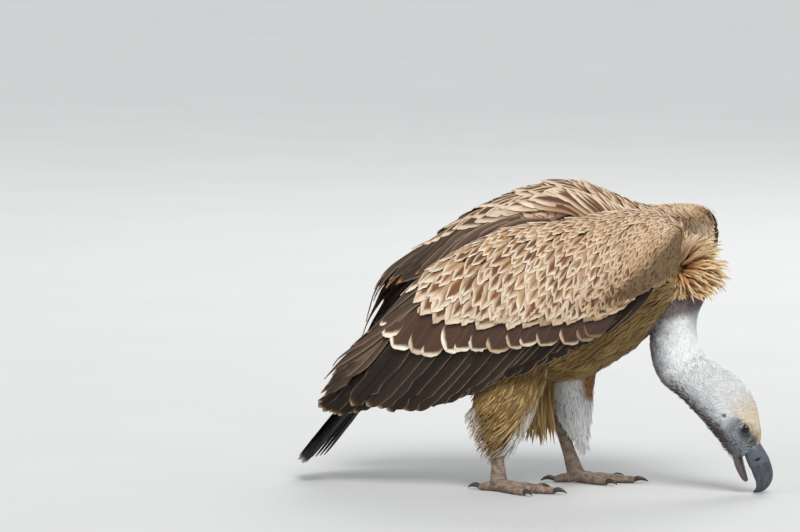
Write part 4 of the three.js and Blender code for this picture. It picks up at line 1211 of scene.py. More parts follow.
plumage = [
    soft_feathers("belly_front", 9500, trunk(60, 400, True), 40, 2.6, 26, 3.8, 0.14),
    soft_feathers("belly_rear", 9500, trunk(-400, 60, True), 42, 2.8, 28, 4.2, 0.14),
    soft_feathers("back", 4200, trunk(-400, 400, False), 44, 5.5, 34, 11, 0.12)]
arms = [
    soft_feathers("arm_feathers", 4000, arm_skin(False), 46, 5.5, 17, 7.5, 0.16),
    soft_feathers("shoulder_feathers", 9000, arm_skin(True), 48, 2.4, 10, 3.6, 0.22, clump=10.0)]
trousers = [
    soft_feathers("trousers_right", 8500, thigh_skin("right"), 50, 1.8, longer_downwards(26, 14, -170, -110),
                  3.2, 0.16, trouser_finish, 11.0),
    soft_feathers("trousers_left", 8500, thigh_skin("left"), 52, 1.7, longer_downwards(12, 16, -150, -100),
                  2.1, 0.2, trouser_finish, 9.0)]

# %% Plumes between the legs
PLUME = [(0, 0.05, 0), (0.25, 0.09, 0.04), (0.55, 0.1, 0.05), (0.8, 0.07, 0.03), (0.93, 0.03, 0.01),
         (1.0, 0, 0)]
PLUME_WIDTH = 0.2  # of a plume one unit long


def between_legs(q, part, n):
    inside = (np.abs(q[:, 1] - 8) < 34) * (np.abs(q[:, 0] + 10) < 38) * (q[:, 2] < 215)
    return of_part(part, "torso") * inside


points, _, _, root, _ = scatter(700, between_legs, 54)
rng = default_rng(55)
number = len(points)
lie = unit(np.array([-0.14, 0, -1.0]) + rng.normal(0, 0.1, (number, 3)) + 0.4 * swirl(points, 16, 57))
long = rng.uniform(60, 112, number)
size = np.stack([long, np.full(number, 5.5 / PLUME_WIDTH), long * 0.8], -1)
plumes = grow("plumes", blades("plume", PLUME, 0.02, PATCH, 5, 0.22, 0.5), points, lie,
              square_to(lie, -Y), size, root, trouser_finish, {"tint": rng.random(number)},
              blend(BUFF_BROWN, (rng.random(number), PALE_BUFF)), 0.1, 56)

# %% [markdown]
# ## Large feathers on the wing
#
# Flight feathers and large coverts are few and broad, and each has to bend with the wing, so they are
# built one by one on the chart from arrays: rows along the shaft, columns across the vane. The columns
# crowd at the shaft, which stands up as a ridge, and the outline is notched where the barbs have parted.
# A copy from a node tree would stay flat and cut through its neighbours.

# %% Vanes on a surface
NUMBERS = ("tint", "streak", "reach", "dark", "pale")  # carried by each feather for its finish
VANE_COLUMNS = np.array([-1, -0.62, -0.3, -0.06, 0.06, 0.3, 0.62, 1])
VANE_ROWS = np.array([0, 0.12, 0.24, 0.36, 0.46, 0.56, 0.64, 0.72, 0.79, 0.85, 0.9, 0.94, 0.97, 0.99, 1])
# outlines: share of the length, share of the half width
FLIGHT = [(0, 0.3), (0.2, 0.72), (0.5, 0.96), (0.8, 1), (0.92, 0.8), (0.98, 0.42), (1, 0.1)]
LANCEOLATE = [(0, 0.35), (0.3, 0.86), (0.55, 1), (0.74, 0.84), (0.88, 0.52), (0.96, 0.22), (1, 0.03)]
ROUNDED = [(0, 0.4), (0.3, 0.9), (0.6, 1), (0.8, 0.93), (0.9, 0.74), (0.96, 0.48), (0.99, 0.22), (1, 0.05)]
COVERT = [(0, 0.4), (0.3, 0.9), (0.52, 1), (0.68, 0.9), (0.82, 0.62), (0.92, 0.33), (0.98, 0.1), (1, 0.03)]


def vane_grid(feathers, outline, rng, ragged):
    """Half widths of each feather at each row and column, notched at the edges near the tip."""
    share = read(outline, VANE_ROWS)[:, 0]
    half = feathers["width"][:, None, None] / 2 * share[None, :, None] * VANE_COLUMNS
    notch = ragged * rng.random((len(feathers["width"]), len(VANE_ROWS), 2)) ** 3
    notch[:, :6] *= 0.1  # the half next to the root is hardly worn
    half[:, :, [0, -1]] *= 1 - notch
    return half


def vanes(name, place, feathers, outline, finish, thick=0.45, camber=1.5, ragged=0.4, seed=1):
    """A piece of vanes. place(back, across, lift) gives points for arrays of feathers x rows x columns."""
    rng = default_rng(seed)
    number = len(feathers["length"])
    across = vane_grid(feathers, outline, rng, ragged)
    back = (feathers["length"][:, None] * (VANE_ROWS - 1))[..., None] + 0 * across
    crown = camber * (1 - VANE_COLUMNS ** 2) - camber * 0.5 + 0 * across
    shaft = (np.abs(VANE_COLUMNS) < 0.1) * 0.5 * (1 - 0.7 * VANE_ROWS[:, None])
    top = place(back, across, crown + shaft + thick / 2)
    under = place(back, across, crown - thick / 2)
    ring = np.concatenate([top, under[:, :, -2:0:-1]], axis=2)
    around = ring.shape[2]
    faces = tube_faces(len(VANE_ROWS), around)
    points = ring.reshape(number, -1, 3)
    faces = outward(points[0], faces)
    every = (faces[None] + np.arange(number)[:, None, None] * points.shape[1]).reshape(-1, 4)
    mesh = mesh_of(name, points.reshape(-1, 3), every)
    columns = np.concatenate([VANE_COLUMNS, VANE_COLUMNS[-2:0:-1]])
    u = np.broadcast_to(columns * 0.5 + 0.5, (len(VANE_ROWS), around))
    v = np.broadcast_to(VANE_ROWS[:, None], u.shape)
    local = np.stack([u, v], -1).reshape(-1, 2)
    cells = math.ceil(math.sqrt(number))
    corner = np.stack([np.arange(number) % cells, np.arange(number) // cells], -1) / cells
    bake = corner[:, None] + (0.04 + 0.92 * local)[None] / cells
    vertex = array_of(mesh.loops, "vertex_index", 1, np.int32)
    for layer, values in (("Feather", np.tile(local, (number, 1))), ("OFBake", bake.reshape(-1, 2))):
        mesh.uv_layers.new(name=layer).data.foreach_set("uv", values[vertex].astype(np.float32).ravel())
    column = array_of(mesh.edges, "vertices", 2, np.int32) % points.shape[1] % around
    rim = (column[:, 0] == column[:, 1]) & np.isin(column[:, 0], (0, len(VANE_COLUMNS) - 1))
    mesh.attributes.new("sharp_edge", "BOOLEAN", "EDGE").data.foreach_set("value", rim)
    for key in NUMBERS:
        add_number(mesh, key, np.repeat(feathers.get(key, np.full(number, 0.5)), points.shape[1]))
    piece = shown(name, mesh, finish)
    print(f"{name}: {number} vanes, {2 * len(every)} triangles")
    return piece


# %% Vanes laid on the wing
def on_wing(one, tip_p, tip_w, heading, lift, slope, tilt):
    """The place function of vanes whose tips are at tip_p, tip_w on the chart."""
    cos, sin = np.cos(heading)[:, None, None], np.sin(heading)[:, None, None]

    def place(back, across, height):
        p = tip_p[:, None, None] + back * cos - across * sin
        w = tip_w[:, None, None] + back * sin + across * cos
        spot, normal, _, _ = wing_frame(one, p, w)
        return spot + normal * (lift[:, None, None] + slope * back - tilt * across + height)[..., None]

    return place


# %% [markdown]
# Two finishes dress the wing. A covert has a dark centre along its shaft, a pale edge that widens to the
# tip, partly its real fringe and partly a painted highlight, painted shade towards its root, and fine
# slanting barbs. A flight feather is nearly black-brown with a thin worn edge. Numbers carried by each
# feather say how wide the dark centre is, how far it reaches and how warm it is, so one finish serves
# every tier.

# %% Feather finishes
def barbs(finish, across, along, tint, count):
    """Fine slanting lines of barbs on both sides of the shaft."""
    slant = along - across.math("ABSOLUTE") * 0.22
    return finish.speckle(finish.vector(across * 1.5, slant * count, tint * 31), 1.0, 3.0)


def covert_finish():
    finish = Finish("coverts", 0.8, Specular_IOR_Level=0.2)
    across, along = finish.feather()
    tint, streak, reach, dark, pale = (finish.tell(name) for name in NUMBERS)
    line, wide = barbs(finish, across, along, tint, 46.0), barbs(finish, across, along, tint, 8.0)
    side = across.math("ABSOLUTE")
    taper = (1 - (along / reach) ** (dark * 6 + 2)).math("MAXIMUM", 0.0)  # dark feathers keep their width
    blade = streak * taper + (wide - 0.5) * 0.3 + (line - 0.5) * 0.25
    centre = (blade - side).step(-0.3, 0.26) * (streak * taper * 7).math("MINIMUM", 1.0)
    # paler towards rim and tip, partly the real pale fringe and partly a painted highlight; the tan nearer
    # the root is painted shade under the feather above
    fringe_and_highlight = (side * 0.4 + along * 1.1 + (wide - 0.5) * 0.3).step(0.65, 1.35)
    rim = finish.mix(pale, hue(196, 168, 136), hue(236, 224, 204))
    warm = finish.mix((tint * 7).math("FRACT"), hue(138, 88, 52), hue(98, 68, 48))
    colour = finish.coats(
        finish.mix(fringe_and_highlight, hue(168, 136, 102), rim), ((0 - pale).step(0.0, 0.8) * 0.92, hue(98, 80, 54)),
        (centre, finish.mix(dark, warm, hue(66, 50, 42))), (side.step(0.09, 0.02) * 0.5, hue(92, 66, 46)))
    colour = finish.shaded(colour, 0.9 + tint * 0.2 + (line - 0.5) * 0.3)
    return finish.paint(colour, height=line, depth=0.0005, strength=0.6)


def flight_finish():
    finish = Finish("flight feathers", 0.6, Specular_IOR_Level=0.12)
    across, along = finish.feather()
    tint, pale = finish.tell("tint"), finish.tell("pale")
    line = barbs(finish, across, along, tint, 90.0)
    side = across.math("ABSOLUTE")
    outer = (side + (line - 0.5) * 0.3).step(0.5, 1.0) * pale * 0.7
    worn = (side + (line - 0.5) * 0.12).step(0.9, 0.99) * 0.6
    rufous = (along + (line - 0.5) * 0.05).step(0.93, 0.985) * (pale * 1.6).math("MINIMUM", 1.0)
    tip = (along + (line - 0.5) * 0.06).step(0.965, 0.998) * 0.7
    colour = finish.coats(
        finish.mix(tint, hue(28, 22, 18), hue(50, 40, 32)),
        (pale * 0.75, finish.mix(tint, hue(84, 68, 58), hue(122, 100, 84))), (outer, hue(176, 148, 120)),
        (worn, hue(150, 128, 108)), (side.step(0.09, 0.03) * 0.8, hue(24, 18, 16)),
        (rufous, hue(178, 118, 70)), (tip, hue(190, 164, 132)))
    colour = finish.shaded(colour, 0.85 + (line - 0.5) * 0.6)
    return finish.paint(colour, 0.5 + line * 0.25, line, 0.0006, 0.6)


covert_paint, flight_paint = covert_finish(), flight_finish()

# %% [markdown]
# The feathers of one tier differ little from each other, so a tier is a row of numbers: the line that
# its tips follow, and the length, width and heading at both ends. Setting them one at a time would give
# more freedom, but the order of a wing lies in these slow changes; a little seeded chance does the rest.

# %% Lines that the tips follow
PRIMARIES = [(576, -0.42), (590, -0.4), (612, -0.33), (630, -0.18), (636, 0)]
SECONDARIES = [(160, -0.68), (225, -0.72), (300, -0.79), (380, -0.8), (450, -0.79), (500, -0.72),
               (548, -0.5), (588, -0.22)]
TERTIALS = {
    "right": [(606, -0.1), (620, 0.2), (598, 0.5), (562, 0.75), (520, 0.9), (470, 1.08)],
    "left": [(600, -0.1), (590, 0.3), (560, 0.65), (536, 0.95), (521, 1.05), (494, 1.14)]}
INNER_TERTIALS = [(606, 0.72), (598, 0.92), (580, 1.1), (548, 1.28), (500, 1.42), (440, 1.5)]
SCAPULARS = {
    "right": [(452, 0.98), (424, 1.18), (388, 1.36), (340, 1.5), (280, 1.62), (212, 1.66)],
    "left": [(452, 0.98), (424, 1.14), (388, 1.25), (340, 1.3), (280, 1.32), (212, 1.3)]}
INNER_SCAPULARS = [(500, 1.38), (455, 1.48), (400, 1.56), (330, 1.62), (250, 1.64), (170, 1.6)]
GREATER = [(160, -0.66), (202, -0.7), (242, -0.59), (307, -0.42), (346, -0.27), (396, -0.1), (438, 0.02),
           (463, 0.13), (486, 0.3), (496, 0.52), (484, 0.76)]
MEDIAN = [(125, -0.46), (172, -0.48), (225, -0.34), (280, -0.17), (333, 0), (372, 0.1), (400, 0.22),
          (420, 0.42), (428, 0.66), (418, 0.88)]
FRONT = [(14, -0.36), (2, -0.22), (-4, -0.05), (-6, 0.1), (-6, 0.25), (-5, 0.4), (-3, 0.58), (0, 0.8),
         (4, 1.0), (10, 1.2), (18, 1.38)]

# %% Tiers
HEIGHT_STEP = 110.0  # roughly the millimetres on the wing for one unit of height


def line_at(rows, share):
    """Places at shares of a line of (p, height) rows, and the length of the line."""
    rows = np.asarray(rows, float)
    run = np.r_[0, np.cumsum(np.hypot(np.diff(rows[:, 0]), np.diff(rows[:, 1]) * HEIGHT_STEP))]
    return read(np.c_[run / run[-1], rows], share), run[-1]


def tier(name, side, rows, count, heading, length, width, lift, slope, tilt, outline, finish, seed,
         wander, jitter, looks, **form):
    """One tier of feathers on a wing, their tips along rows of (p, height). Each pair of numbers runs from
    the first feather to the last; looks are drawn between such ends for the finish."""
    one, rng = WINGS[side], default_rng(seed)
    share = (np.arange(count) + 0.5) / count
    p, height = line_at(rows, share)[0].T
    p = p + jitter * rng.uniform(-1, 1, count)
    lerp = lambda ends: ends[0] + (ends[1] - ends[0]) * share
    feathers = {"length": lerp(length) * rng.uniform(0.93, 1.06, count),
                "width": lerp(width) * rng.uniform(0.92, 1.08, count), "tint": rng.random(count)}
    for key, (low, high) in looks.items():
        feathers[key] = low + (high - low) * (0.55 * share + 0.45 * rng.random(count))
    turn = np.radians(lerp(heading) + rng.normal(0, wander, count))
    w = wing_height(one, p, height) + rng.uniform(-0.5, 0.5, count) * jitter
    place = on_wing(one, p, w, turn, lift + rng.uniform(0, 0.5, count), slope, tilt)
    return vanes(f"{name}_{side}", place, feathers, outline, finish, seed=seed, **form)


# %% Flight feathers
# name, tips, number; heading, length and width of the first and the last; lift, slope, tilt; outline, seed,
# how far headings wander, how far tips stray, how pale
FLIGHT_TIERS = [
    ("primaries", PRIMARIES, 9, (-24, -27), (205, 205), (30, 28), -14, 0.01, 0.1,
     FLIGHT, 60, 0.6, 4, (0, 0.08)),
    ("secondaries", SECONDARIES, 21, (-15, -24), (110, 215), (42, 38), -9, 0.01, 0.12,
     FLIGHT, 61, 0.6, 4, (0, 0.08)),
    ("tertials", TERTIALS, 10, (-25, -6), (196, 150), (38, 40), -2.5, 0.05, 0.11,
     LANCEOLATE, 64, 1.5, 7, (0.12, 0.55)),
    ("inner_tertials", INNER_TERTIALS, 8, (-10, 12), (230, 190), (27, 30), -1.0, 0.02, 0.12,
     LANCEOLATE, 66, 2.5, 11, (0.25, 0.8)),
    ("inner_scapulars", INNER_SCAPULARS, 14, (-6, 6), (150, 120), (32, 32), 0.5, 0.05, 0.06,
     LANCEOLATE, 68, 2.0, 9, (0.5, 0.9))]


def flight_tier(row, k, side):
    name, tips, *sizes, outline, seed, wander, jitter, pale = row
    tips = tips[side] if isinstance(tips, dict) else tips
    return tier(name, side, tips, *sizes, outline, flight_paint, seed + 10 * k, wander, jitter,
                {"pale": pale}, camber=0.8 if outline is FLIGHT else 1.6)


flight = [flight_tier(row, k, side) for k, side in enumerate(WINGS) for row in FLIGHT_TIERS[:-1]]

# %% Coverts
# name, tips, how far they move forwards, number; heading, length and width of the first and the last; lift,
# slope; outline, seed, wander, stray; width, reach, darkness of the centre and paleness of the rim
COVERT_TIERS = [
    (("greater_coverts", GREATER, 0, 15, (-40, -28), (92, 104), (42, 46), -1.5, 0.1, ROUNDED, 80, 4, 9),
     ((1.35, 1.15), (0.98, 0.94), (1.0, 0.8), (-0.7, 1.4))),
    (("median_coverts", MEDIAN, 0, 14, (-44, -28), (76, 90), (42, 46), 0.6, 0.12, COVERT, 81, 5, 11),
     ((1.1, 0.6), (0.95, 0.8), (0.9, 0.3), (-0.7, 1.2))),
    (("second_medians", MEDIAN, 22, 18, (-44, -28), (62, 72), (34, 38), 1.6, 0.13, COVERT, 85, 6, 12),
     ((1.0, 0.3), (0.92, 0.75), (0.8, 0.1), (-0.7, 1.1)))]
COVERT_TILT = 0.05
SCAPULAR_ROWS = [1.0, 0.86, 0.73, 0.6, 0.48, 0.37]  # places of the rows, as shares of the way to the last
coverts = []
for k, side in enumerate(WINGS):
    for (name, tips, forward, *sizes, outline, seed, wander, jitter), looks in COVERT_TIERS:
        tips = [(p - forward, height) for p, height in tips]
        coverts.append(tier(name, side, tips, *sizes, COVERT_TILT, outline, covert_paint, seed + 10 * k,
                            wander, jitter, dict(zip(NUMBERS[1:], looks)), ragged=0.3, camber=1.6))
    flight.append(flight_tier(FLIGHT_TIERS[-1], k, side))
    for j, share in enumerate(SCAPULAR_ROWS):
        tips = [(p * share, height) for p, height in SCAPULARS[side]]
        looks = (0.85 - 0.07 * j, 0.45), (0.95, 0.85), (1.0 - 0.12 * j, 0.4), (0.1, 0.9)
        coverts.append(tier(f"scapulars_{j}", side, tips, 13, (-14, 8), (118 - 10 * j, 92 - 9 * j),
                            (36 - 3 * j, 42 - 4 * j), 0.5 + 0.5 * j, 0.09, COVERT_TILT, LANCEOLATE,
                            covert_paint, 82 + 10 * k + 100 * j, 4, 8, dict(zip(NUMBERS[1:], looks)),
                            ragged=0.3, camber=1.8))

# %% [markdown]
# In front of the large coverts lie hundreds of small ones in rows, like shingles, each row a little
# smaller than the one behind it. Their tips follow lines that run from the tier behind to the wing's
# front edge; the coat tree sets one scale-like blade at each.

# %% Lesser coverts
SHINGLE = [(0, 0.14, 0), (0.25, 0.3, 0.03), (0.5, 0.37, 0.04), (0.66, 0.32, 0.035), (0.79, 0.22, 0.03),
           (0.89, 0.12, 0.02), (0.95, 0.06, 0.01), (1.0, 0, 0.0)]
SHINGLE_WIDTH = 0.74  # of a shingle one unit long
LESSER_ROWS = 26
LESSER_SIZE = (15.0, 46.0)  # length of a feather at the front edge and next to the median coverts
LESSER_SPACING = (5.6, 14.5)
LOWER_EDGE = {"right": (0.42, 1.0), "left": (0.2, 0.3)}  # how far up the dark feathers go, and how dark
PLAIN_SHARE = 0.35  # of the feathers, which have hardly any dark centre


def lesser_coverts(side, seed):
    one, rng = WINGS[side], default_rng(seed)
    middle = np.array([0.5])
    front_run, rear_run = line_at(FRONT, middle)[1], line_at(MEDIAN, middle)[1]
    parts = []
    for row in range(LESSER_ROWS):
        back = (row / LESSER_ROWS) ** 1.3  # 0 at the front edge, towards 1 at the median coverts
        gap = LESSER_SPACING[0] + (LESSER_SPACING[1] - LESSER_SPACING[0]) * back
        number = int((front_run + (rear_run - front_run) * back) / gap)
        share = (np.arange(number) + 0.5 * (row % 2) + rng.uniform(-0.45, 0.45, number)) / number
        ahead, behind = line_at(FRONT, share)[0], line_at(MEDIAN, share)[0]
        place = ahead + (behind - ahead) * back
        p = place[:, 0] + rng.uniform(-0.5, 0.5, number) * gap
        w = wing_height(one, p, place[:, 1])
        turn = np.radians(-42 + 10 * share + 14 * (1 - back) * (share - 0.4) + rng.normal(0, 8, number))
        length = (LESSER_SIZE[0] + (LESSER_SIZE[1] - LESSER_SIZE[0]) * back) * rng.uniform(0.85, 1.15, number)
        parts.append(np.stack([p, w, turn, length, np.full(number, back), share], -1))
    p, w, turn, length, back, share = np.concatenate(parts).T
    number = len(p)
    root_p, root_w = p - length * np.cos(turn), w - length * np.sin(turn)
    tip, tip_normal, _, _ = wing_frame(one, p, w)
    start, start_normal, _, _ = wing_frame(one, np.maximum(root_p, -13), root_w)
    tip = tip + tip_normal * (0.5 + (0.3 + 1.1 * back) * rng.random(number))[:, None]
    start = start - start_normal * 2.5
    lie = unit(tip - start)
    long = np.linalg.norm(tip - start, axis=-1)
    size = np.stack([long, length * rng.uniform(0.5, 0.66, number) / SHINGLE_WIDTH, long * 0.9], -1)
    cells = math.ceil(math.sqrt(number))
    root = np.stack([np.arange(number) % cells, np.arange(number) // cells], -1) / cells
    up_to, darkness = LOWER_EDGE[side]
    low = darkness * (1 - smooth(share, 0.04, up_to))
    clump = cloud(start, 30, seed)
    plain = rng.random(number) < PLAIN_SHARE
    streak = (0.18 + 0.65 * back * rng.random(number) + 0.2 * low) * np.where(plain, 0.3, 1)
    numbers = {"tint": rng.random(number), "streak": streak, "reach": rng.uniform(0.8, 0.96, number),
               "dark": np.clip(0.3 - 0.1 * back + 0.6 * low + 0.5 * (clump - 0.5), 0, 1),
               "pale": np.clip(0.2 + 0.6 * back - 2.2 * low * (1 - 0.6 * back) + 0.6 * (clump - 0.5), -1, 1)}
    shingles = blades("shingle", SHINGLE, 0.022, 0.92 / cells, 5, 0.05, 0.4)
    return grow("lesser_coverts_" + side, shingles, start, lie, square_to(lie, tip_normal), size, root,
                covert_paint, numbers, None, 0.06, seed)


lesser = [lesser_coverts(side, 100 + k) for k, side in enumerate(WINGS)]

# %% [markdown]
# ## Tail
#
# Fourteen stiff feathers lie over one another in a narrow bundle, the middle pair on top, worn at the
# tips. They share the vane builder; only the surface that they are laid on differs.

# %% Tail feathers
TAIL_COUNT = 14
TAIL_LENGTH, TAIL_WIDTH = 244.0, 34.0  # of one feather
TAIL_SPREAD, TAIL_SPAN, TAIL_STACK = math.radians(17), 34.0, 24.0  # of all of them
TAIL_INSIDE, TAIL_LIFT = 12.0, 5.0  # what the flesh hides of each feather, height of the middle pair
rng = default_rng(7)
off = (np.arange(TAIL_COUNT) + 0.5) / TAIL_COUNT - 0.5
rank = np.abs(off) * 2
tail_feathers = {"length": TAIL_LENGTH * (1 - 0.06 * rank ** 2) + rng.uniform(0, 5, TAIL_COUNT) + TAIL_INSIDE,
                 "width": np.full(TAIL_COUNT, TAIL_WIDTH), "tint": rng.random(TAIL_COUNT) * 0.5,
                 "pale": np.zeros(TAIL_COUNT)}


def on_tail(back, across, height):
    length = tail_feathers["length"][:, None, None]
    turn, side = (off * TAIL_SPREAD)[:, None, None], (off * TAIL_SPAN)[:, None, None]
    t = length + back
    along = -TAIL_INSIDE + t * np.cos(turn)
    sideways = side + t * np.sin(turn) + across
    stack = (TAIL_LIFT - rank * TAIL_STACK - (off > 0) * TAIL_STACK / TAIL_COUNT)[:, None, None]
    return (TAIL_ROOT + TAIL_ALONG * along[..., None] + TAIL_TOP * (stack + height)[..., None]
            + Y * sideways[..., None])


tail = vanes("tail_feathers", on_tail, tail_feathers, FLIGHT, flight_paint, camber=1.2, ragged=0.3, seed=8)

# %% [markdown]
# ## Ruff
#
# The collar of a young griffon is made of long lance-shaped feathers, golden and rufous, that spring
# from the root of the neck and curl. They are set in rings round the neck's root, turned out from it,
# longest at the nape, with cream tips.

# %% Ruff lances
LANCE = [(0, 0.05, 0), (0.2, 0.085, 0.05), (0.45, 0.09, 0.1), (0.7, 0.065, 0.11), (0.88, 0.03, 0.07),
         (1.0, 0, 0.0)]
LANCE_WIDTH = 0.18  # of a lance one unit long
COLLAR = [(30, 2), (60, 10), (86, 12), (104, 1)]  # distance along the neck, how far the collar stands out
RUFF_HEART = np.array([236.0, 0, 346])  # the lances spread from here


def ruff_finish():
    finish = Finish("ruff feathers", 0.75, Specular_IOR_Level=0.25)
    across, along = finish.feather()
    tint = finish.tell("tint")
    line = barbs(finish, across, along, tint, 30.0)
    colour = finish.coats(
        finish.mix(tint, hue(176, 118, 66), hue(214, 166, 112)),
        (along.step(0.4, 0.05) * 0.85, hue(104, 64, 36)), (along.step(0.5, 0.92) * 0.85, hue(240, 220, 178)),
        (finish.tell("pale"), hue(222, 200, 170)))
    colour = finish.shaded(colour, 0.84 + (line - 0.5) * 0.5 + tint * 0.2)
    return finish.paint(colour, height=line, depth=0.0006, strength=0.6)


# %% Setting the lances
def root_places(points):
    """Places on the skin's unwrap nearest to points that lie over it."""
    found = np.zeros((len(points), 2))
    for i, point in enumerate(points):
        _, _, face, _ = skin_tree.find_nearest(Vector(point))
        found[i] = unwrap[loops[face]].mean(0)
    return found


RUFF_COUNT = 1500
rng = default_rng(110)
turn = np.radians(rng.uniform(-155, 155, RUFF_COUNT))
side = np.abs(np.sin(turn))
row = rng.random(RUFF_COUNT)
s = np.minimum(36 + 48 * row + 8 * side, 88)
middle, along, up, nape, throat, half = neck_frame(s)
radial = up * np.cos(turn)[:, None] + Y * np.sin(turn)[:, None]
deep = np.where(np.cos(turn) > 0, nape, throat)
reach = 1 / np.sqrt((np.cos(turn) / deep) ** 2 + (np.sin(turn) / half) ** 2) + read(COLLAR, s)[:, 0]
roots = middle + radial * (reach * 0.74)[:, None]
away = unit((roots - RUFF_HEART) * np.array([1, 0, 1]))
sweep = np.array([0.35, 0, 0.1]) * (np.cos(turn) > 0.3)[:, None] - np.array([0.25, 0, 0.2]) * side[:, None]
lie = unit(0.75 * away + 0.5 * radial + 0.2 * along + sweep + 0.5 * swirl(roots, 15, 3)
           + 0.1 * rng.normal(size=(RUFF_COUNT, 3)))
soft = smooth(-s, -66, -54) * smooth(np.cos(turn), 0.2, 0.7)  # short pale down on top of the neck's root
low = smooth(-lie[:, 2], 0.45, 0.9)
high = smooth(lie[:, 2], 0.2, 0.8) * side
length = ((52 - 14 * row) * rng.uniform(0.55, 1.12, RUFF_COUNT) * (1 - 0.35 * (np.cos(turn) < -0.3))
          * (1 - 0.45 * soft) * (1 - 0.6 * low) * (1 + 1.1 * high))
size = np.stack([length, rng.uniform(3.6, 6.2, RUFF_COUNT) / LANCE_WIDTH, length * 1.2], -1)
numbers = {"tint": cloud(roots, 12, 5) * 0.6 + 0.4 * rng.random(RUFF_COUNT),
           "pale": np.maximum(soft * 0.85, 0.6 * high)}
ruff = grow("ruff_lances", blades("lance", LANCE, 0.03, PATCH, 5, 0.22, 0.25), roots, lie,
            square_to(lie, radial), size, root_places(roots), ruff_finish(), numbers, None, 0.2, 111)

# %% [markdown]
# ## Bill
#
# The bill is a hollow sheath of horn over bone: a soft cere at its base with an upright nostril slit, a
# ridge along the top, and a long hook that closes over the shorter lower half. Rings along its length
# with a pinched section give the form, and the nostril is pressed into them.

# %% Horn of the bill
UPPER_BILL = [  # distance, X and Z of the ridge, X and Z of the lower edge, half width
    (0, 353, 86, 331, 71, 15), (10, 361, 74, 335, 61, 15), (24, 369.5, 60.5, 340, 48, 14),
    (38, 375.5, 48, 345.5, 36, 12.6), (50, 378.8, 36, 349, 27, 11.6), (61, 378.5, 24, 352, 19.5, 10.4),
    (71, 373.5, 13, 353, 12.5, 8.6), (80, 365.5, 5.2, 352, 8, 6), (87, 357, 2, 350, 5.4, 3.4),
    (91, 350.5, 1.4, 348, 3.2, 1.4)]
LOWER_BILL = [
    (0, 329, 68, 316, 58, 14), (14, 331.5, 54, 319, 45, 12.4), (28, 335, 40, 324.5, 32, 10),
    (40, 338.5, 28, 331, 21.5, 7), (48, 340.5, 20.5, 336.5, 17.5, 3)]
NOSTRIL = np.array([357.5, 54.0])
CERE_END = 34.0  # millimetres along the upper half


def bill_half(rows, count, around, ridge):
    d = np.linspace(0, rows[-1][0], count)
    ax, az, bx, bz, half = np.moveaxis(read(rows, d), -1, 0)
    up = np.stack([ax - bx, 0 * d, az - bz], -1)
    reach = np.linalg.norm(up, axis=-1) / 2
    turn = np.arange(around) / around * 2 * math.pi
    pinch = 1 - ridge * np.maximum(np.sin(turn), 0) ** 3  # narrower towards the ridge
    base = 0.8 + 0.2 * smooth(d, 0, 11)  # the sheath comes out of the skin
    side = (half * base)[:, None] * np.cos(turn) * pinch
    rise = reach[:, None] * np.sin(turn)
    middle = np.stack([(ax + bx) / 2, 0 * d, (az + bz) / 2], -1)
    rings = middle[:, None] + Y * side[..., None] + unit(up)[:, None] * rise[..., None]
    return rings, d


upper, d = bill_half(UPPER_BILL, 92, 48, 0.25)
swell = 0.7 * smooth(-d, -CERE_END - 3, -CERE_END + 3)[:, None]
outwards = unit(upper - upper.mean(1, keepdims=True))
along_nostril = (upper[..., 0] - NOSTRIL[0]) * 0.42 - (upper[..., 2] - NOSTRIL[1]) * 0.91
up_nostril = (upper[..., 0] - NOSTRIL[0]) * 0.91 + (upper[..., 2] - NOSTRIL[1]) * 0.42
pit = np.exp(-(along_nostril / 1.9) ** 4 - (up_nostril / 4.8) ** 4)
upper = upper + outwards * (swell - 4.0 * pit)[..., None]
lower, _ = bill_half(LOWER_BILL, 40, 36, -0.1)
on_upper, on_lower = (rings.shape[0] * rings.shape[1] for rings in (upper, lower))

# %% Horn finish
horn = Finish("horn", 0.34, Coat_Weight=0.2, Coat_Roughness=0.25)
place = horn.place()
distance = horn.tell("along")
lines = horn.speckle(horn.stretch(place, (260, 90, 70)), 1.0, 5.0)
mottle = horn.speckle(place, 170.0, 3.0)
cere = (distance + (mottle - 0.5) * 5).step(CERE_END + 2, CERE_END - 2)
colour = horn.coats(
    horn.mix(lines.step(0.3, 0.75), hue(48, 50, 56), hue(78, 81, 88)),
    (distance.step(58, 88) * 0.7, hue(34, 34, 38)),
    (cere, horn.mix(mottle, hue(60, 66, 78), hue(88, 95, 108))),
    # painted shade: brown where the sheath comes out of the face, near black in the nostril pit
    ((distance + (mottle - 0.5) * 9).step(9, 1) * 0.8, hue(84, 72, 68)), (horn.tell("pit"), hue(14, 12, 12)),
    (horn.tell("lower") * (0.35 + mottle * 0.5), hue(92, 76, 68)))
horn_paint = horn.paint(colour, 0.28 + lines * 0.15 + cere * 0.2, lines + mottle * 0.5, 0.0006, 0.3)
bill = shown("bill", mesh_of("bill", *tubes([upper, lower])), horn_paint)
PLAIN_HORN = 60.0  # the lower half is painted as the upper one is at this distance
add_number(bill.data, "along", np.r_[np.repeat(d, upper.shape[1]), np.full(on_lower, PLAIN_HORN)])
add_number(bill.data, "pit", np.r_[pit.ravel(), np.zeros(on_lower)])
add_number(bill.data, "lower", np.repeat([0.0, 1.0], [on_upper, on_lower]))
print("bill:", len(bill.data.polygons), "faces")

# %% [markdown]
# ## Eyes and lids
#
# A dark brown eye with a wide pupil sits deep under the brow. The ball is a plain sphere whose rings of
# colour are painted by the angle from the direction it looks in; the wet surface is a clear coat. Each
# lid is a soft closed ring pulled into an almond, pale blue-white at the back.

# %% Eyes
def mirrored(points, faces):
    """Points and faces together with their mirror image on the bird's other side."""
    other = points * np.array([1, -1, 1])
    return np.concatenate([points, other]), np.concatenate([faces, faces[:, ::-1] + len(points)])


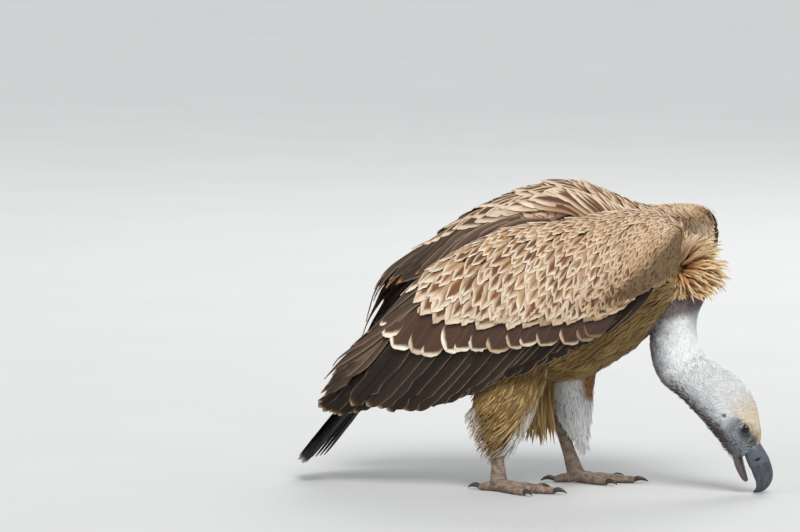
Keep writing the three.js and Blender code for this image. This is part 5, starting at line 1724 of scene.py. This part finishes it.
def sphere_rings(centre, axis, radius, rings=28, around=40):
    first = unit(np.cross(axis, Z))
    second = np.cross(axis, first)
    fall = np.linspace(0.03, math.pi - 0.03, rings)
    size = radius * np.sin(fall)
    return oval(centre + axis * (radius * np.cos(fall))[:, None], first, second, size, size, size, around)


def back_of_eye(x, z, low, high):
    """1 behind the eye, 0 before it, between two distances in millimetres from its middle."""
    return ((z * 0.6 - x * 0.8) / MM + (0.8 * EYE[0] - 0.6 * EYE[2])).step(low, high)


eye_finish = Finish("eye", 0.3, Coat_Weight=0.35, Coat_Roughness=0.03, Specular_IOR_Level=0.2)
angle = eye_finish.tell("look")
place = eye_finish.place()
x, _, z = eye_finish.axes(place)
iris = eye_finish.mix(eye_finish.speckle(place, 700.0, 3.0), hue(48, 30, 22), hue(80, 52, 34))
colour = eye_finish.coats(
    hue(12, 10, 10), (angle.step(0.52, 0.60), iris), (angle.step(0.86, 0.98), hue(22, 16, 14)),
    (back_of_eye(x, z, 4.6, 5.4), hue(138, 150, 164)))
balls = sphere_rings(EYE + EYE_OUT * 0.2, EYE_OUT, EYE_RADIUS - 0.3)
eyes = shown("eyes", mesh_of("eyes", *mirrored(*tubes([balls]))), eye_finish.paint(colour))
look = np.arccos(np.clip(unit(balls - EYE).dot(EYE_OUT), -1, 1)).ravel()
add_number(eyes.data, "look", np.tile(look, 2))
print("eyes:", len(eyes.data.polygons), "faces")

# %% Lids
LID = [  # distance from the line of sight and height over the eye's middle, round the section, and the rim
    (6.5, 7.4, 1), (6.4, 7.9, 1), (6.8, 8.3, 0.9), (7.4, 8.3, 0.6), (8.0, 7.9, 0.3), (8.7, 7.0, 0.1),
    (9.6, 5.8, 0), (10.6, 4.2, 0), (11.2, 2.4, 0), (10.4, 1.2, 0), (9.4, 2.2, 0), (8.4, 4.0, 0.2),
    (7.6, 5.6, 0.6), (6.9, 6.8, 1)]
LID_COUNT = 56  # sections round the eye
SLIT = np.radians(-62)  # the almond's long axis falls with the bill


def lid_sections():
    """Closed sections round the eye: from the ball's surface out to under the skin."""
    first = unit(np.cross(EYE_OUT, Z))
    second = np.cross(first, EYE_OUT)
    sections = []
    for a in np.arange(LID_COUNT) / LID_COUNT * 2 * math.pi:
        out = first * math.cos(a) + second * math.sin(a)
        wide = 1 + 0.10 * np.cos(2 * (a - SLIT))
        sections.append([EYE + out * r * wide + EYE_OUT * (h + 0.25 * math.sin(5 * a + r))
                         for r, h, _ in LID])
    return np.array(sections).reshape(-1, 3)


j, i = np.meshgrid(np.arange(LID_COUNT) * len(LID), np.arange(len(LID)), indexing="ij")
onward, over = (j + len(LID)) % (LID_COUNT * len(LID)), (i + 1) % len(LID)
sections = lid_sections()
faces = outward(sections, np.stack([j + i, j + over, onward + over, onward + i], -1).reshape(-1, 4))
lid_finish = Finish("lids", 0.45, Coat_Weight=0.3)
place = lid_finish.place()
x, _, z = lid_finish.axes(place)
back_corner = back_of_eye(x, z, 3.0, 8.5)
crown_side = ((x * 0.86 + z * 0.5) / MM - (0.86 * EYE[0] + 0.5 * EYE[2])).step(3.0, 9.0)
rim = lid_finish.tell("rim")
crease = lid_finish.speckle(place, 620.0, 3.0)
colour = lid_finish.coats(
    lid_finish.mix(crease, hue(50, 48, 52), hue(78, 80, 86)), (crown_side * 0.8, hue(190, 168, 142)),
    (back_corner * rim, hue(184, 196, 208)), ((1 - back_corner) * rim * 0.85, hue(44, 40, 42)))
lids = shown("lids", mesh_of("lids", *mirrored(sections, faces)),
             lid_finish.paint(colour, height=crease, depth=0.0006))
add_number(lids.data, "rim", np.tile([share for _, _, share in LID], 2 * LID_COUNT))
print("lids:", len(lids.data.polygons), "faces")

# %% [markdown]
# ## Shanks, toes and claws
#
# A vulture walks more than it grips: its shank is stout, covered with small scales and with broad plates
# down the front of the toes, and its claws are blunt. The shank and toes are melted into one leg skin as
# the body was, and the scales are pressed into it by rules that follow each toe's own length.

# %% Measurements of the legs
LEGS = {
    "right": {"side": -1, "ankle": (-42, -71, 120), "foot": (-36, -74, 14), "facing": math.radians(-8)},
    "left": {"side": 1, "ankle": (16, 62, 128), "foot": (53, 64, 14), "facing": math.radians(8)}}
# toes: name, degrees inwards from the way the foot faces, length, radius
TOES = [("inner", 34, 62, 8.5), ("middle", 0, 92, 9.0), ("outer", -32, 66, 8.0), ("hind", 172, 34, 8.0)]
# share of the length, share of the radius, and for the toes the height of the middle
TOE_ROWS = [(0, 1.25, 12), (0.26, 1.02, 8.2), (0.5, 0.98, 6.6), (0.78, 0.88, 5.1), (1, 0.62, 4.8)]
SHANK_ROWS = [(0, 1.25), (0.12, 1.15), (0.35, 0.95), (0.7, 0.95), (0.9, 1.15), (1, 1.3)]
SHANK_RADIUS = 10.5
KNUCKLE_GAP = 22.0
# share of the length, height of the middle, radius
CLAW_ROWS = [(0, 5.2, 4.2), (0.35, 7.6, 3.8), (0.75, 6.2, 2.4), (1, 3.0, 0.8)]
CLAW_LENGTH, CLAW_ROOT = 21.0, 1.5  # out of the toe and inside it
LEG_VOXEL = 0.0013  # metres
SHANK_AROUND, TOE_AROUND, CLAW_AROUND = 40, 32, 20  # points in a ring


def toe_heading(leg, turn):
    angle = leg["facing"] - math.radians(turn) * leg["side"]
    return np.array([math.cos(angle), math.sin(angle), 0]), np.array([-math.sin(angle), math.cos(angle), 0])


# %% Legs and claws as closed tubes
leg_tubes, claw_tubes = [], []
for leg in LEGS.values():
    ankle, foot = np.array(leg["ankle"], float), np.array(leg["foot"], float)
    t = np.linspace(-0.06, 1, 50)
    front = np.cross(Y, unit(foot - ankle))
    radius = SHANK_RADIUS * read(SHANK_ROWS, t)[:, 0]
    leg_tubes.append(oval(ankle + (foot - ankle) * t[:, None], Y, front, radius * 0.92, radius, radius,
                          SHANK_AROUND))
    for _, turn, length, thick in TOES:
        heading, across = toe_heading(leg, turn)
        t = np.linspace(0, 1, 40)
        share, z = np.moveaxis(read(TOE_ROWS, t), -1, 0)
        knuckle = 1 + 0.07 * np.cos(t * length / KNUCKLE_GAP * 2 * math.pi)
        under_foot = np.array([foot[0], foot[1], 0])
        middle = under_foot + heading * (length * t)[:, None] + Z * z[:, None]
        leg_tubes.append(oval(middle, across, Z, thick * share * knuckle, thick * share * 0.9 * knuckle,
                              np.minimum(z, thick * share), TOE_AROUND))
        t = np.linspace(0, 1, 22)
        z, r = np.moveaxis(read(CLAW_ROWS, t), -1, 0)
        out = length - CLAW_ROOT + (CLAW_LENGTH + CLAW_ROOT) * t
        middle = under_foot + heading * out[:, None] + Z * z[:, None]
        claw_tubes.append(oval(middle, across, Z, r * 0.78, r, np.minimum(r, z - 0.3), CLAW_AROUND))

legs = shown("legs", mesh_of("legs", *tubes(leg_tubes)))
melt(legs, LEG_VOXEL, 4)


# %% Scales
def scale_pattern(points):
    """Height of the scales in millimetres, and how much of it is groove, on shanks and toes."""
    best, groove = np.full(len(points), np.inf), np.zeros(len(points))
    for leg in LEGS.values():
        ankle, foot = np.array(leg["ankle"], float), np.array(leg["foot"], float)
        lines = [(ankle, unit(foot - ankle), np.linalg.norm(foot - ankle), Y, SHANK_RADIUS, 4.2, 0.6)]
        for _, turn, length, thick in TOES:
            heading, across = toe_heading(leg, turn)
            lines.append((np.array([foot[0], foot[1], 8.0]), heading, length, across, thick, 4.6, 1.0))
        for start, heading, length, across, thick, period, plates in lines:
            t = (points - start) @ heading
            away = points - start - heading * np.clip(t, 0, length)[:, None]
            gap = np.linalg.norm(away, axis=-1) / thick
            up = np.cross(heading, across) if heading[2] < -0.5 else Z
            around = np.arctan2(away @ across, away @ up)
            on_top = smooth(np.cos(around), 0.1, 0.6) * plates
            row = t / period
            bands = np.abs((row % 1) - 0.5) * 2
            stagger = (np.floor(row) % 2) * 0.5
            cells = np.abs(((around * thick / 4.0 + stagger) % 1) - 0.5) * 2
            line = np.maximum(smooth(bands, 0.72, 1), (1 - on_top) * smooth(cells, 0.68, 1))
            groove = np.where(gap < best, line, groove)
            best = np.minimum(gap, best)
    return 0.35 - 0.75 * groove, groove


# %% Scaled skin and claws
leg_spots = array_of(legs.data.vertices, "co", 3) / MM
leg_normals = array_of(legs.data.vertices, "normal", 3)
rise, groove = scale_pattern(leg_spots)
above_sole = smooth(leg_spots[:, 2], 0.8, 2.5)
leg_spots = leg_spots + leg_normals * (rise * above_sole)[:, None]
leg_spots[:, 2] = np.maximum(leg_spots[:, 2], 0.05)
legs.data.vertices.foreach_set("co", (leg_spots * MM).ravel())
add_number(legs.data, "groove", groove)
legs.data.shade_smooth()
scales = Finish("leg scales", 0.6)
place = scales.place()
dust = scales.speckle(place, 120.0, 4.0)
pebble = scales.speckle(place, 900.0, 2.0)
colour = scales.coats(hue(112, 92, 78), (dust.step(0.35, 0.65), hue(148, 128, 110)),
                      (scales.tell("groove") * 0.7, hue(64, 50, 42)))
dress(legs, scales.paint(colour, 0.5 + dust * 0.25, pebble, 0.0004))
claw_paint = Finish("claw", 0.35)
stripe = claw_paint.speckle(claw_paint.place(), 420.0, 3.0)
colour = claw_paint.mix(stripe, hue(34, 30, 28), hue(66, 58, 52))
claws = shown("claws", mesh_of("claws", *tubes(claw_tubes)),
              claw_paint.paint(colour, height=stripe, depth=0.0003))
print("legs:", len(legs.data.polygons), "faces; claws:", len(claws.data.polygons))

# %% [markdown]
# ## Handing the pieces over
#
# Every piece rides on the figure's one body, and the ones that stand for imported nodes hide them.

# %% Pieces, slots and nodes
SLOTS = [
    ("body_feathers", [skin, *plumage, *arms]), ("down", [*neck_wool, head_down, bristles]),
    ("trouser_feathers", [*trousers, plumes]),
    ("flight_feathers", [*flight, tail]), ("wing_feathers", [*coverts, *lesser]), ("ruff_feathers", [ruff]),
    ("horn", [bill]), ("eye", [eyes]), ("down", [lids]), ("leg_scales", [legs]), ("claw", [claws])]
for slot, pieces in SLOTS:
    for piece in pieces:
        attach(piece, "root")
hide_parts("torso", "neck_lower", "neck_upper", "head", "thigh_right", "thigh_left")
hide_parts("wing_right")
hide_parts("wing_left")
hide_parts("tail")
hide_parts("ruff")
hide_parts("bill_upper", "bill_lower")
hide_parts("eye_left", "eye_right")
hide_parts("shank_left", "shank_right", "foot_left", "foot_right")
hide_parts(*[f"claw_{side}_{toe[0]}" for side in LEGS for toe in TOES])

# %% Sizes
visible = [o for o in bpy.context.scene.objects if o.type == "MESH" and not o.hide_render]
print("triangles in all:", sum(triangles(piece) for piece in visible))
size = {"cad": [list(v) for v in cad_box], "visual": [list(v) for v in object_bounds()]}
print(size)
